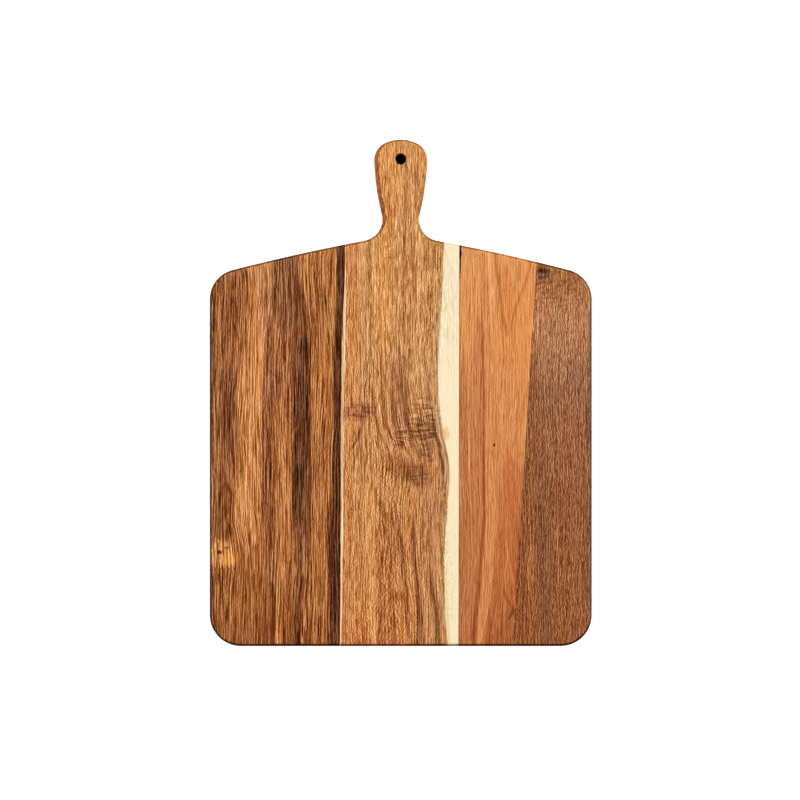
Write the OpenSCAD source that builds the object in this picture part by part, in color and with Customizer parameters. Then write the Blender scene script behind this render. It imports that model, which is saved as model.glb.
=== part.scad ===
// Paddle serving board, edge-glued from four staves, with a shaped handle and a hanging hole.
// The board lies flat: X is its width, Y points to the handle, Z = 0 is the underside.
// The origin is the middle of the underside of the box that holds the whole board.

/* [Board] */
// Width of the body across both straight sides
body_w = 330; // [315:1:345]
// Overall length from the foot edge to the tip of the handle
board_l = 437.5; // [420:0.5:460]
// Thickness of the board
board_t = 15; // [13:0.5:20]
// Radius of the two corners at the foot
foot_corner_r = 27; // [20:0.5:40]
// Radius of the two upper corners
head_corner_r = 26.2; // [20:0.2:36]
// Fall of the shoulder where it leaves the neck, in degrees
shoulder_fall_neck = 10.5; // [9:0.5:12]
// Fall of the shoulder where it reaches the upper corner, in degrees
shoulder_fall_corner = 14.5; // [14:0.5:18]

/* [Handle] */
// Narrowest width of the neck
neck_w = 31.8; // [29:0.2:35]
// Radius of the hollow between the neck and the shoulder
neck_r = 18.8; // [16:0.2:22]
// Angle by which the neck opens into the swell of the grip, in degrees
throat_turn = 14; // [13:0.5:16]
// Widest width of the grip
grip_w = 46.2; // [43:0.1:49]
// Angle at which the swell hands over to the turn at the tip, in degrees
swell_turn = 2.5; // [1:0.5:4]
// Radius of the tight turn between the swell and the crown
turn_r = 16.4; // [15:0.2:18]
// Angle at which the turn hands over to the flat crown, in degrees
crown_turn = 64; // [58:1:70]
// Width of the soft easing along the grip, seen from above
grip_ease_w = 4.4; // [3.6:0.1:5.2]
// Height of the flat that the easing leaves on the side of the grip
grip_flat_h = 5; // [3:0.5:7]

/* [Hanging hole] */
// Diameter of the hole
hole_d = 9.5; // [6:0.1:12]
// Distance from the tip of the handle to the middle of the hole
hole_drop = 17.3; // [15:0.1:22]
// Width of the small chamfer round each mouth of the hole
hole_rim = 0.5; // [0.2:0.1:1.2]

/* [Edges] */
// Radius of the rounding along every edge of the outline
edge_r = 3; // [1.5:0.1:3.5]

/* [Joints] */
// Thickness of the adhesive in each joint
glue_t = 0.2; // [0.1:0.05:0.4]
// Left joint, from the centreline, at the foot edge
left_joint_foot = 52.4; // [48:0.1:58]
// Left joint, from the centreline, at the level of the tip
left_joint_tip = 46.6; // [42:0.1:50]
// Middle joint, from the centreline, at the foot edge
middle_joint_foot = 49.8; // [44:0.1:56]
// Middle joint, from the centreline, at the level of the tip
middle_joint_tip = 50.8; // [44:0.1:56]
// Right joint, from the centreline, at the foot edge
right_joint_foot = 96.5; // [84:0.5:108]
// Right joint, from the centreline, at the level of the tip
right_joint_tip = 124.1; // [112:0.1:130]

/* [Hidden] */
$fn = 120;
// Facets in a full turn of a sweep, finer because the long arcs turn only a few degrees
sweep_fn = 240;

// How far a cut runs past the surface that it leaves
overrun = 2;
// Places are reached in two steps, the first of them in whole multiples of this
place_step = 0.01;

// Levels along Y, from the middle of the board
foot_y = -board_l / 2;
tip_y = board_l / 2;
hole_y = tip_y - hole_drop;

// A point at a distance and an angle from another
function polar(centre, radius, angle) = centre + radius * [cos(angle), sin(angle)];

// The outline is a chain of arcs, each tangent to the next. The angles at which they hand over are
// set above, and so are the tight radii. The widths of the grip, the neck and the body then give the
// three long radii.
neck_x = neck_w / 2 + neck_r;
turn_x = grip_w / 2 - turn_r;
head_corner_x = body_w / 2 - head_corner_r;
swell_a = -swell_turn;
throat_a = -throat_turn;
neck_end_a = 270 - shoulder_fall_neck;
shoulder_a = 90 - shoulder_fall_neck;
corner_a = 90 - shoulder_fall_corner;

crown_r = turn_r + turn_x / cos(crown_turn);
swell_r = (neck_x - turn_x - turn_r * cos(swell_a) - neck_r * cos(throat_a))
    / (cos(throat_a) - cos(swell_a));
shoulder_r = (head_corner_x - neck_x + neck_r * cos(shoulder_a) + head_corner_r * cos(corner_a))
    / (cos(corner_a) - cos(shoulder_a));

// Centres, from the tip of the handle down to the foot
crown_c = [0, tip_y - crown_r];
turn_c = polar(crown_c, crown_r - turn_r, crown_turn);
swell_c = polar(turn_c, turn_r - swell_r, swell_a);
neck_c = polar(swell_c, swell_r + neck_r, throat_a);
shoulder_c = polar(neck_c, neck_r + shoulder_r, neck_end_a);
head_corner_c = polar(shoulder_c, shoulder_r - head_corner_r, corner_a);
foot_corner_c = [body_w / 2 - foot_corner_r, foot_y + foot_corner_r];

// The right half of the outline, clockwise from the tip: centre, radius, first and last angle.
// The hollow arc of the neck has its angles the other way round.
rim_arcs = [
    [crown_c, crown_r, 90, crown_turn],
    [turn_c, turn_r, crown_turn, swell_a],
    [swell_c, swell_r, swell_a, throat_a],
    [neck_c, neck_r, 180 + throat_a, neck_end_a],
    [shoulder_c, shoulder_r, shoulder_a, corner_a],
    [head_corner_c, head_corner_r, corner_a, 0],
    [foot_corner_c, foot_corner_r, 0, -90]
];
function is_hollow(arc) = arc[3] > arc[2];

// The rim is this deep, and the core reaches part of the way into it
rim_depth_share = 0.38;
core_inset_share = 0.7;
rim_depth = rim_depth_share * neck_w;
core_inset = core_inset_share * rim_depth;

// The core follows the arcs with a few straight sides, which the rim hides
core_arc_shares = [0, 0.5, 0.95];
function core_radius(arc) = is_hollow(arc) ? arc[1] + core_inset : arc[1] - core_inset;
core_points = [
    for (arc = rim_arcs)
        for (share = core_arc_shares)
            polar(arc[0], core_radius(arc), arc[2] + share * (arc[3] - arc[2]))
];
core_foot = [0, foot_y + core_inset];

// A straight edge is made from both of its ends, and each part reaches a little past the middle
run_share = 0.55;
side_run = run_share * (head_corner_c.y - foot_corner_c.y);
foot_run = run_share * 2 * foot_corner_c.x;

// The easing along the grip is part of a circle through the edge of the flat on the side and a line
// on the face, the same above and below
grip_half_t = board_t / 2;
grip_half_flat = grip_flat_h / 2;
grip_round_x = (pow(grip_ease_w, 2) + pow(grip_half_t, 2) - pow(grip_half_flat, 2)) / (2 * grip_ease_w);
grip_round_r = norm([grip_round_x, grip_half_flat]);

// Moves to a point in a coarse and a fine step, so that arcs which meet do so to the last digit
module place(point) {
    coarse = [for (v = point) round(v / place_step) * place_step];
    translate(coarse) translate(point - coarse) children();
}

// Turns a section about a centre, from one angle to another, at a radius
module sweep(centre, radius, a1, a2) {
    place(centre)
        rotate_extrude(start = min(a1, a2), angle = abs(a2 - a1), $fn = sweep_fn)
            place([radius, 0]) children();
}

// Section of the rim, with its outer side on the Y axis and its wood at negative X
module rim_section() {
    flat_h = board_t - 2 * edge_r;
    translate([-rim_depth, 0]) square([rim_depth - edge_r, board_t]);
    translate([-edge_r, edge_r]) square([edge_r, flat_h]);
    for (side = [0, 1])
        translate([-edge_r, side * board_t])
            mirror([0, side])
                intersection() {
                    translate([0, edge_r]) circle(edge_r);
                    square(edge_r);
                }
}

// Right half of the glued-up blank, cut to its outline and with its edges rounded
module blank_half() {
    linear_extrude(height = board_t) polygon(concat(core_points, [core_foot, [0, 0]]));
    for (arc = rim_arcs)
        sweep(arc[0], arc[1], arc[2], arc[3])
            mirror([is_hollow(arc) ? 1 : 0, 0]) rim_section();
    place([body_w / 2, head_corner_c.y])
        rotate([90, 0, 0])
            linear_extrude(height = side_run) rim_section();
    place([body_w / 2, foot_corner_c.y])
        rotate([90, 0, 0])
            mirror([0, 0, 1])
                linear_extrude(height = side_run) rim_section();
    place([foot_corner_c.x, foot_y])
        rotate([90, 0, -90])
            linear_extrude(height = foot_run) rim_section();
}

module left_half() {
    mirror([1, 0, 0]) blank_half();
}

// Section of the wood that the easing of the grip takes away
module grip_ease_section() {
    difference() {
        translate([-grip_ease_w - overrun, -overrun])
            square([grip_ease_w + 2 * overrun, board_t + 2 * overrun]);
        translate([-grip_round_x, grip_half_t]) circle(grip_round_r);
    }
}

// The easing follows the swell of the grip. Past the turn it drifts outwards on a wider circle, and
// in the hollow of the neck on a tighter one, so that it runs out into the plain rounding at both ends.
module grip_ease() {
    turn_path_r = turn_r + grip_ease_w;
    neck_path_r = neck_r - grip_ease_w;
    sweep(swell_c, swell_r, swell_a, throat_a) grip_ease_section();
    sweep(polar(swell_c, swell_r - turn_path_r, swell_a), turn_path_r, swell_a, 90)
        grip_ease_section();
    sweep(polar(swell_c, swell_r + neck_path_r, throat_a), neck_path_r, 180 + throat_a, neck_end_a)
        mirror([1, 0]) grip_ease_section();
}

// Hanging hole with a small chamfer at both mouths
module hanging_hole() {
    hole_r = hole_d / 2;
    translate([0, hole_y, -overrun]) cylinder(r = hole_r, h = board_t + 2 * overrun);
    for (side = [0, 1])
        translate([0, hole_y, side * board_t])
            mirror([0, 0, side])
                translate([0, 0, -overrun])
                    cylinder(r1 = hole_r + hole_rim + overrun, r2 = hole_r, h = hole_rim + overrun);
}

// A joint is where its middle stands at the foot edge and at the level of the tip
left_joint = [-left_joint_foot, -left_joint_tip];
middle_joint = [middle_joint_foot, middle_joint_tip];
right_joint = [right_joint_foot, right_joint_tip];
left_side = [-body_w / 2 - overrun, -body_w / 2 - overrun];
right_side = [body_w / 2 + overrun, body_w / 2 + overrun];
function joint_x(joint, y) = joint[0] + (joint[1] - joint[0]) * (y - foot_y) / board_l;

// The space between two joints, each side moved over by its own amount
module strip(from, from_shift, to, to_shift) {
    low = foot_y - overrun;
    high = tip_y + overrun;
    translate([0, 0, -overrun])
        linear_extrude(height = board_t + 2 * overrun)
            polygon([
                [joint_x(from, low) + from_shift, low],
                [joint_x(to, low) + to_shift, low],
                [joint_x(to, high) + to_shift, high],
                [joint_x(from, high) + from_shift, high]
            ]);
}

// A stave is what its part of the blank has between two joints, less half of the adhesive on each side
module stave(from, to) {
    intersection() {
        children();
        strip(from, glue_t / 2, to, -glue_t / 2);
    }
}

// The adhesive fills its joint from edge to edge
module glue_line(joint) {
    color("darkgoldenrod")
        intersection() {
            children();
            strip(joint, -glue_t / 2, joint, glue_t / 2);
        }
}

module left_stave() {
    color("sienna") stave(left_side, left_joint) left_half();
}

module centre_stave() {
    color("peru")
        difference() {
            stave(left_joint, middle_joint) {
                blank_half();
                left_half();
            }
            grip_ease();
            mirror([1, 0, 0]) grip_ease();
            hanging_hole();
        }
}

module orange_stave() {
    color("chocolate") stave(middle_joint, right_joint) blank_half();
}

module brown_stave() {
    color("saddlebrown") stave(right_joint, right_side) blank_half();
}

module left_glue_line() {
    glue_line(left_joint) left_half();
}

module middle_glue_line() {
    glue_line(middle_joint) blank_half();
}

module right_glue_line() {
    glue_line(right_joint) blank_half();
}

left_stave();
centre_stave();
orange_stave();
brown_stave();
left_glue_line();
middle_glue_line();
right_glue_line();
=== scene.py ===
"""An edge-glued acacia paddle board, seen straight from above on a white ground.

Every stave is dressed from its own CAD solid. Its grain is drawn by shader nodes from the named
streaks, blotches, threads, ripples, swirls and flows below. Their places are in millimetres on the
serving face: across from the board's middle line, and along from its middle towards the handle.
"""
import logging
import math
from collections.abc import Sequence
from dataclasses import dataclass
from enum import Enum

import bmesh
import bpy
from mathutils import Matrix, Vector


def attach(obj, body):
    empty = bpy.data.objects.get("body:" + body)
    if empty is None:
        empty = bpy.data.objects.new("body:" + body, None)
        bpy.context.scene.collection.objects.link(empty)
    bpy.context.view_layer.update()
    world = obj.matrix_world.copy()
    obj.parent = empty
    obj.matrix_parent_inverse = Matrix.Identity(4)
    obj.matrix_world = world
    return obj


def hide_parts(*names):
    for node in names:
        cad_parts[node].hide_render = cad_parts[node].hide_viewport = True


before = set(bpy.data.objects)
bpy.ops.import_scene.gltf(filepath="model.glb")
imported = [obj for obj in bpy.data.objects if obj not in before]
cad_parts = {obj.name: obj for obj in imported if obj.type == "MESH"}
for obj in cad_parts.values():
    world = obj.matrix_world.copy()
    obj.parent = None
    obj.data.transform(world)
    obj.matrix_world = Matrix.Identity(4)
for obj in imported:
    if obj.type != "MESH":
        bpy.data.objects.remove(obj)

log = logging.getLogger("board")

Colour = tuple[float, float, float, float]
Size = tuple[float, float, float]
Place = tuple[float, float]
Span = tuple[float, float]
PathPoint = tuple[float, float, float]
Socket = bpy.types.NodeSocket
Value = float | Socket

MM = 0.001
ROOT_BODY = "root"
WHITE: Colour = (1.0, 1.0, 1.0, 1.0)

# The board and its hanging hole have the CAD's own sizes
HALF_WIDTH_MM = 165.0
HALF_LENGTH_MM = 218.75
THICKNESS_MM = 15.0
HOLE_MM: Place = (0.0, 201.45)

# A soft oval is whole at its heart and gone at its rim, both in radii from its centre
OVAL_HEART = 0.45
OVAL_RIM = 1.25

# Noise lies about its middle, and is read on a slope because a level cut shows its lattice
NOISE_MIDDLE = 0.5
NOISE_TURN = math.radians(38.0)

# Reddening changes a channel this many stops below white neither up nor down
EVEN_STOPS = 2.0

# How far apart in the noise the layers, a layer's own beads and the ripples start
LAYER_STEP = 37.0
BEAD_STEP = 19.0
RIPPLE_STEP = 7.0


class Slot(Enum):
    """The record's material slots."""

    LEFT = "red_brown_acacia"
    CENTRE = "gold_acacia"
    ORANGE = "orange_acacia"
    BROWN = "walnut_brown_acacia"


class NoiseStart(Enum):
    """Where each use of noise starts, so that no two patterns of one wood are alike."""

    DRIFT = 5.0
    LAYERS = 11.0
    PORES = 47.0
    RIPPLES = 61.0
    RAG = 83.0


def linear(hex_colour: str) -> Colour:
    """Turns an sRGB hex colour into the linear colour that a socket takes.

    Args:
        hex_colour: the colour as "#rrggbb".

    Returns:
        Red, green, blue and an alpha of one.
    """
    parts = [int(hex_colour[i:i + 2], 16) / 255 for i in (1, 3, 5)]
    red, green, blue = (v / 12.92 if v <= 0.04045 else ((v + 0.055) / 1.055) ** 2.4 for v in parts)
    return red, green, blue, 1.0


def share_across(place_mm: float) -> float:
    """Turns a place across the board into its share of the width, from the left side."""
    return (place_mm + HALF_WIDTH_MM) / (2 * HALF_WIDTH_MM)


def share_along(place_mm: float) -> float:
    """Turns a place along the board into its share of the length, from the foot, held in it."""
    return min(max((place_mm + HALF_LENGTH_MM) / (2 * HALF_LENGTH_MM), 0.0), 1.0)


def add_object(name: str, data: bpy.types.ID) -> bpy.types.Object:
    """Makes an object of some data and links it to the scene.

    Args:
        name: the object's name.
        data: its mesh, lamp or camera.

    Returns:
        The object, at the origin.
    """
    made = bpy.data.objects.new(name, data)
    bpy.context.scene.collection.objects.link(made)
    return made


def mesh_of(shape: bmesh.types.BMesh, name: str) -> bpy.types.Mesh:
    """Writes a bmesh to a new mesh and frees it.

    Args:
        shape: the finished bmesh.
        name: the mesh's name.

    Returns:
        The new mesh.
    """
    mesh = bpy.data.meshes.new(name)
    shape.to_mesh(mesh)
    shape.free()
    return mesh


class Wiring:
    """Adds nodes to one node tree and joins them."""

    MIX_FACTOR, MIX_A, MIX_B, MIX_RESULT = 0, 6, 7, 2

    def __init__(self, tree: bpy.types.NodeTree) -> None:
        """Keeps the tree that the nodes go to."""
        self.tree = tree

    def add(self, kind: str, inputs: dict[int | str, Value | tuple[float, ...]] | None = None,
            output: int | str = 0, **settings: str | bool) -> Socket:
        """Adds one node.

        Args:
            kind: the node's type without "ShaderNode".
            inputs: a value or a socket for each input, by its name or number.
            output: which output is handed back.
            settings: the node's own properties.

        Returns:
            The output socket, whose node is its "node".
        """
        node = self.tree.nodes.new(f"ShaderNode{kind}")
        for name, value in settings.items():
            setattr(node, name, value)
        for key, value in (inputs or {}).items():
            self.feed(node, key, value)
        return node.outputs[output]

    def feed(self, node: bpy.types.Node, key: int | str,
             value: Value | tuple[float, ...]) -> None:
        """Gives one input of a node its value, or joins a socket to it.

        Args:
            node: the node.
            key: the input's name or number.
            value: a socket, a number, or the numbers of a colour or vector.
        """
        if isinstance(value, Socket):
            self.tree.links.new(value, node.inputs[key])
        else:
            node.inputs[key].default_value = value


def new_material(name: str) -> tuple[bpy.types.Material, Wiring, bpy.types.Node]:
    """Makes a material that has only its shader.

    Args:
        name: the material's name.

    Returns:
        The material, the wiring for its nodes, and its Principled shader.
    """
    material = bpy.data.materials.new(name)
    material.use_nodes = True
    return material, Wiring(material.node_tree), material.node_tree.nodes["Principled BSDF"]


def bend_curve(value: Socket, points: Sequence[Place]) -> Socket:
    """Shapes the float curve that a socket comes from.

    Args:
        value: the output of a FloatCurve node.
        points: two or more places and heights, both from 0 to 1, in order.

    Returns:
        The same socket.
    """
    mapping = value.node.mapping
    curve = mapping.curves[0]
    curve.points[0].location = points[0]
    curve.points[1].location = points[-1]
    for place in points[1:-1]:
        curve.points.new(*place)
    for point in curve.points:
        point.handle_type = "AUTO_CLAMPED"
    mapping.update()
    return value


def soft_oval(net: Wiring, point: Socket, centre: Place, radii: Place) -> Socket:
    """Makes a soft oval on the serving face that goes right through the board.

    Args:
        net: the material's wiring.
        point: the point in millimetres.
        centre: the oval's centre across and along.
        radii: its radii across and along.

    Returns:
        The mask, one about the centre and zero past the rim.
    """
    place = net.add("Mapping", {
        "Vector": point, "Scale": (1 / radii[0], 1 / radii[1], 0.0),
        "Location": (-centre[0] / radii[0], -centre[1] / radii[1], 0.0)})
    reach = net.add("VectorMath", {0: place}, output="Value", operation="LENGTH")
    return net.add("MapRange", {"Value": reach, "From Min": OVAL_RIM, "From Max": OVAL_HEART},
                   interpolation_type="SMOOTHSTEP")


def ribbon(net: Wiring, path: Sequence[PathPoint], fade_mm: float, across: Socket,
           along: Socket) -> Socket:
    """Measures how deep a point lies in a band that follows a path along the board.

    Args:
        net: the material's wiring.
        path: places along with the band's place across and half width there, in millimetres.
        fade_mm: the width of the band's soft edge.
        across: the place across, from 0 to 1.
        along: the place along, from 0 to 1.

    Returns:
        The depth from the outside of the soft edge, in shares of the board's width.
    """
    width = 2 * HALF_WIDTH_MM
    spots = [share_along(place) for place, _, _ in path]
    centres = [share_across(middle) for _, middle, _ in path]
    halves = [(half + fade_mm / 2) / width if half else 0.0 for _, _, half in path]
    centre = bend_curve(net.add("FloatCurve", {"Value": along}), list(zip(spots, centres)))
    half = bend_curve(net.add("FloatCurve", {"Value": along}), list(zip(spots, halves)))
    offset = net.add("Math", {0: across, 1: centre}, operation="SUBTRACT")
    distance = net.add("Math", {0: offset}, operation="ABSOLUTE")
    return net.add("Math", {0: half, 1: distance}, operation="SUBTRACT")


@dataclass(frozen=True)
class Streak:
    """A band of another colour that follows the grain.

    The path holds, from the foot to the tip, the place along the board, the place across it and
    the band's half width there, in millimetres. A half width of zero ends the band in a point.
    A sawn band has clean edges, because the saw and not the grain made them.
    """

    name: str
    tint: str
    fade: float
    strength: float
    path: tuple[PathPoint, ...]
    sawn: bool = False


@dataclass(frozen=True)
class Thread:
    """A thin line of darker or paler fibres, with a path as a streak has.

    The stops, times the finish's thread depth, say how much darker it is than the wood beside
    it, or how much paler where they are below zero. Every thread tapers past both of its ends,
    so no half width of zero is needed there.
    """

    stops: float
    path: tuple[PathPoint, ...]


@dataclass(frozen=True)
class Blotch:
    """A soft oval of another colour, its centre and radii in millimetres."""

    name: str
    tint: str
    centre: Place
    radii: Place
    strength: float


@dataclass(frozen=True)
class Ripple:
    """An oval with short dark bands of its own.

    They cross the grain where the fibres wave, and lie along it as dashes or specks where they
    are narrower than they are tall. The depth is how many stops the bands darken the wood, and
    a share of it lights the wood between them. The size is one band's length across the grain
    and its height along it, and the slant turns the bands, in degrees.
    """

    name: str
    centre: Place
    radii: Place
    depth: float
    size: Place = (11.0, 1.7)
    slant: float = 0.0
    band: Span = (0.42, 0.66)
    light_share: float = 0.25


@dataclass(frozen=True)
class Layer:
    """One size of fibre: a cell's width and length in millimetres, and its contrast.

    Noise below the low mark makes the wood paler by the pale stops, and noise above the high
    mark makes it darker by the dark stops, with a smooth way between them. A paired layer sets
    each dark fibre against a pale one beside it, so that it adds no wider bands. Where beads is
    above zero, each fibre comes and goes along its length at that many millimetres, as vessels
    do that rise to the face and dip under it again. A bead covers the width of two cells, and
    goes from nothing to its peak across its span of noise.
    """

    width: float
    length: float
    dark: float
    pale: float
    low: float = 0.28
    high: float = 0.72
    paired: bool = False
    beads: float = 0.0
    bead: Span = (0.32, 0.62)
    bead_peak: float = 1.5


@dataclass(frozen=True)
class Swirl:
    """An oval round which the grain bends, as it does round a knot.

    The push is the share of its distance from the oval's middle by which a fibre moves outwards.
    """

    name: str
    centre: Place
    radii: Place
    push: float


@dataclass(frozen=True)
class Flow:
    """A sideways bend of the fibres, as beside a branch that once grew there.

    The bend holds places along the board with how far the fibres stand to the right there, in
    millimetres, and the share holds places across with how much of that bend they take. The
    reach is more than the bend ever moves them.
    """

    name: str
    bend: tuple[Place, ...]
    share: tuple[Place, ...]
    reach_mm: float = 40.0


@dataclass(frozen=True)
class Flaw:
    """A crack, hole or open joint, cut into a stave from its serving face.

    The outline holds places across and along the board, in millimetres.
    """

    name: str
    depth_mm: float
    outline: tuple[Place, ...]
    overrun_mm: float = 1.0
    foot_share: float = 0.7

    def build(self) -> bpy.types.Object:
        """Makes the closed cutter.

        Returns:
            The cutter, which narrows towards its foot.
        """
        shape = bmesh.new()
        high = (THICKNESS_MM + self.overrun_mm) * MM
        rim = [shape.verts.new((x * MM, y * MM, high)) for x, y in self.outline]
        lid = shape.faces.new(rim)
        made = bmesh.ops.extrude_face_region(shape, geom=[lid])["geom"]
        foot = [part for part in made if isinstance(part, bmesh.types.BMVert)]
        drop = -(self.depth_mm + self.overrun_mm) * MM
        bmesh.ops.translate(shape, verts=foot, vec=(0.0, 0.0, drop))
        middle = sum((v.co for v in foot), Vector()) / len(foot)
        bmesh.ops.scale(shape, verts=foot, vec=(self.foot_share, self.foot_share, 1.0),
                        space=Matrix.Translation(-middle))
        bmesh.ops.recalc_face_normals(shape, faces=shape.faces)
        return add_object(self.name, mesh_of(shape, self.name))


@dataclass(frozen=True)
class GrainSpace:
    """Where a point of a stave is, as sockets that its features and fibres read.

    The point leans with its depth, as growth rings do in a sawn stave, and the fibres drift and
    bend beside it. Both are in millimetres. The places across and along go from 0 to 1, and the
    ragged one gives the features their torn edges.
    """

    point: Socket
    fibres: Socket
    across: Socket
    ragged: Socket
    along: Socket


@dataclass(frozen=True)
class EdgeTone:
    """How much darker the cut and rounded faces are than the planed one, in stops.

    End grain drinks more oil than the face and is darker. The rounded edges carry painted shade,
    more on those that look to the left, as if lit from the right, and most at the foot; the bore
    carries painted shade and its mouth a painted highlight, and a painted highlight runs along the
    turn from the face into the rounding.
    How level a face lies goes from 0 for an upright wall to 1 for the serving face.

    Attributes:
        end_grain: the stops of a face that looks to the foot or the tip.
        rounding_shade: the stops of painted shade on a rounded edge, before the shares that follow.
        shade_left: the share of painted shade on edges that look to the left, away from the light.
        shade_right: the share of painted shade on edges that look to the right, towards the light.
        sideways: how far a face looks aside where it gets that share in full.
        body_share: the share of painted shade on the body, beside one on the grip.
        neck: the places along, from 0 to 1, where the one share gives way to the other.
        turned: how level a face lies where the rounding sets in and where it is in full.
        wall: how level a face lies where an upright wall ends.
        wall_share: the share that an upright wall keeps.
        bore_wall: how level a face lies where the bore's wall ends and its mouth begins.
        bore_shade: the stops of painted shade on the bore's wall.
        mouth_highlight: the stops of the painted highlight on the bore's mouth.
        mouth_radii_mm: how far about the hole's middle the bore's tones go.
        foot: how far a face looks to the tip, less than nothing for one that looks to the foot.
        foot_shade: the stops of painted shade on the foot's own edge.
        off_level: how level a face lies where the painted highlight line at the turn begins.
        off_turned: how level a face lies where that line ends and is in full.
        rim_highlight: the stops by which that painted highlight line is paler.
    """

    end_grain: float = 0.35
    rounding_shade: float = 1.5
    shade_left: float = 1.4
    shade_right: float = 0.95
    sideways: float = 0.35
    body_share: float = 1.1
    neck: Span = (0.78, 0.84)
    turned: Span = (0.965, 0.8)
    wall: Span = (0.05, 0.4)
    wall_share: float = 0.35
    bore_wall: Span = (0.3, 0.6)
    bore_shade: float = 2.5
    mouth_highlight: float = 0.5
    mouth_radii_mm: Place = (9.0, 9.0)
    foot: Span = (-0.06, -0.4)
    foot_shade: float = 3.0
    off_level: Span = (0.9995, 0.995)
    off_turned: Span = (0.965, 0.985)
    rim_highlight: float = 0.45

    def lay(self, net: Wiring, space: GrainSpace, vivid: Socket, tone: Socket) -> Socket:
        """Adds the end grain's tone and the edges' painted shade and highlights.

        Args:
            net: the material's wiring.
            space: where the point is.
            vivid: how much of its contrast the wood keeps here, less where it is pale.
            tone: the stops so far.

        Returns:
            The stops with the end grain and the edges' painted shade and highlights.
        """
        turn = net.add("SeparateXYZ", {0: net.add("NewGeometry", output="Normal")})
        tipward = turn.node.outputs[1]
        end = net.add("Math", {0: tipward}, operation="ABSOLUTE")
        level = net.add("Math", {0: turn.node.outputs[2]}, operation="ABSOLUTE")
        tone = net.add("Math", {0: end, 1: self.end_grain, 2: tone}, operation="MULTIPLY_ADD")
        rounded = net.add("MapRange", {"Value": level, "From Min": self.wall[0],
                                       "From Max": self.wall[1],
                                       "To Min": self.wall_share, "To Max": 1.0})
        # Painted shade on the rounded edges, more on those that look to the left, as if lit from the
        # right
        painted_shade = self._edge_shade(net, turn, space.along, vivid)
        painted_shade = net.add("Math", {0: painted_shade, 1: rounded}, operation="MULTIPLY")
        painted_shade = net.add("Math", {0: painted_shade, 1: self.rounding_shade}, operation="MULTIPLY")
        # The bore's painted shade and its mouth's painted highlight take the place of the edge's
        # painted shade
        edge = self._bored(net, space.point, level, painted_shade)
        side = net.add("MapRange", {"Value": level, "From Min": self.turned[0],
                                    "From Max": self.turned[1]})
        tone = net.add("Math", {0: side, 1: edge, 2: tone}, operation="MULTIPLY_ADD")
        # Painted shade on the foot's edge
        foot = net.add("MapRange", {"Value": tipward, "From Min": self.foot[0],
                                    "From Max": self.foot[1],
                                    "To Min": 0.0, "To Max": self.foot_shade})
        tone = net.add("Math", {0: foot, 1: rounded, 2: tone}, operation="MULTIPLY_ADD")
        # A painted highlight along the turn from the face into the rounding
        off_level = net.add("MapRange", {"Value": level, "From Min": self.off_level[0],
                                         "From Max": self.off_level[1]})
        off_turned = net.add("MapRange", {"Value": level, "From Min": self.off_turned[0],
                                          "From Max": self.off_turned[1]})
        rim = net.add("Math", {0: off_level, 1: off_turned}, operation="MULTIPLY")
        return net.add("Math", {0: rim, 1: -self.rim_highlight, 2: tone}, operation="MULTIPLY_ADD")

    def _edge_shade(self, net: Wiring, turn: Socket, along: Socket, vivid: Socket) -> Socket:
        """Makes how strongly painted shade darkens a rounded edge, by its side and its place along.

        Args:
            net: the material's wiring.
            turn: how far the face looks to the right.
            along: the place along, from 0 to 1.
            vivid: how much of its contrast the wood keeps here.

        Returns:
            The factor, about one, larger on the left as if lit from the right.
        """
        sided = net.add("MapRange", {"Value": turn, "From Min": -self.sideways,
                                     "From Max": self.sideways,
                                     "To Min": self.shade_left, "To Max": self.shade_right})
        gripped = net.add("MapRange", {"Value": along, "From Min": self.neck[0],
                                       "From Max": self.neck[1],
                                       "To Min": self.body_share, "To Max": 1.0})
        painted_shade = net.add("Math", {0: sided, 1: gripped}, operation="MULTIPLY")
        return net.add("Math", {0: painted_shade, 1: vivid}, operation="MULTIPLY")

    def _bored(self, net: Wiring, point: Socket, level: Socket, painted_shade: Socket) -> Socket:
        """Puts the bore's painted shade and its mouth's painted highlight in place of the edge's.

        Args:
            net: the material's wiring.
            point: the point in millimetres.
            level: how level the face lies.
            painted_shade: the stops of painted shade on a rounded edge.

        Returns:
            The stops of a rounded edge or of the bore.
        """
        bore = net.add("MapRange", {"Value": level, "From Min": self.bore_wall[0],
                                    "From Max": self.bore_wall[1],
                                    "To Min": self.bore_shade, "To Max": -self.mouth_highlight})
        mouth = soft_oval(net, point, HOLE_MM, self.mouth_radii_mm)
        other = net.add("Math", {0: bore, 1: painted_shade}, operation="SUBTRACT")
        return net.add("Math", {0: mouth, 1: other, 2: painted_shade}, operation="MULTIPLY_ADD")


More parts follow.
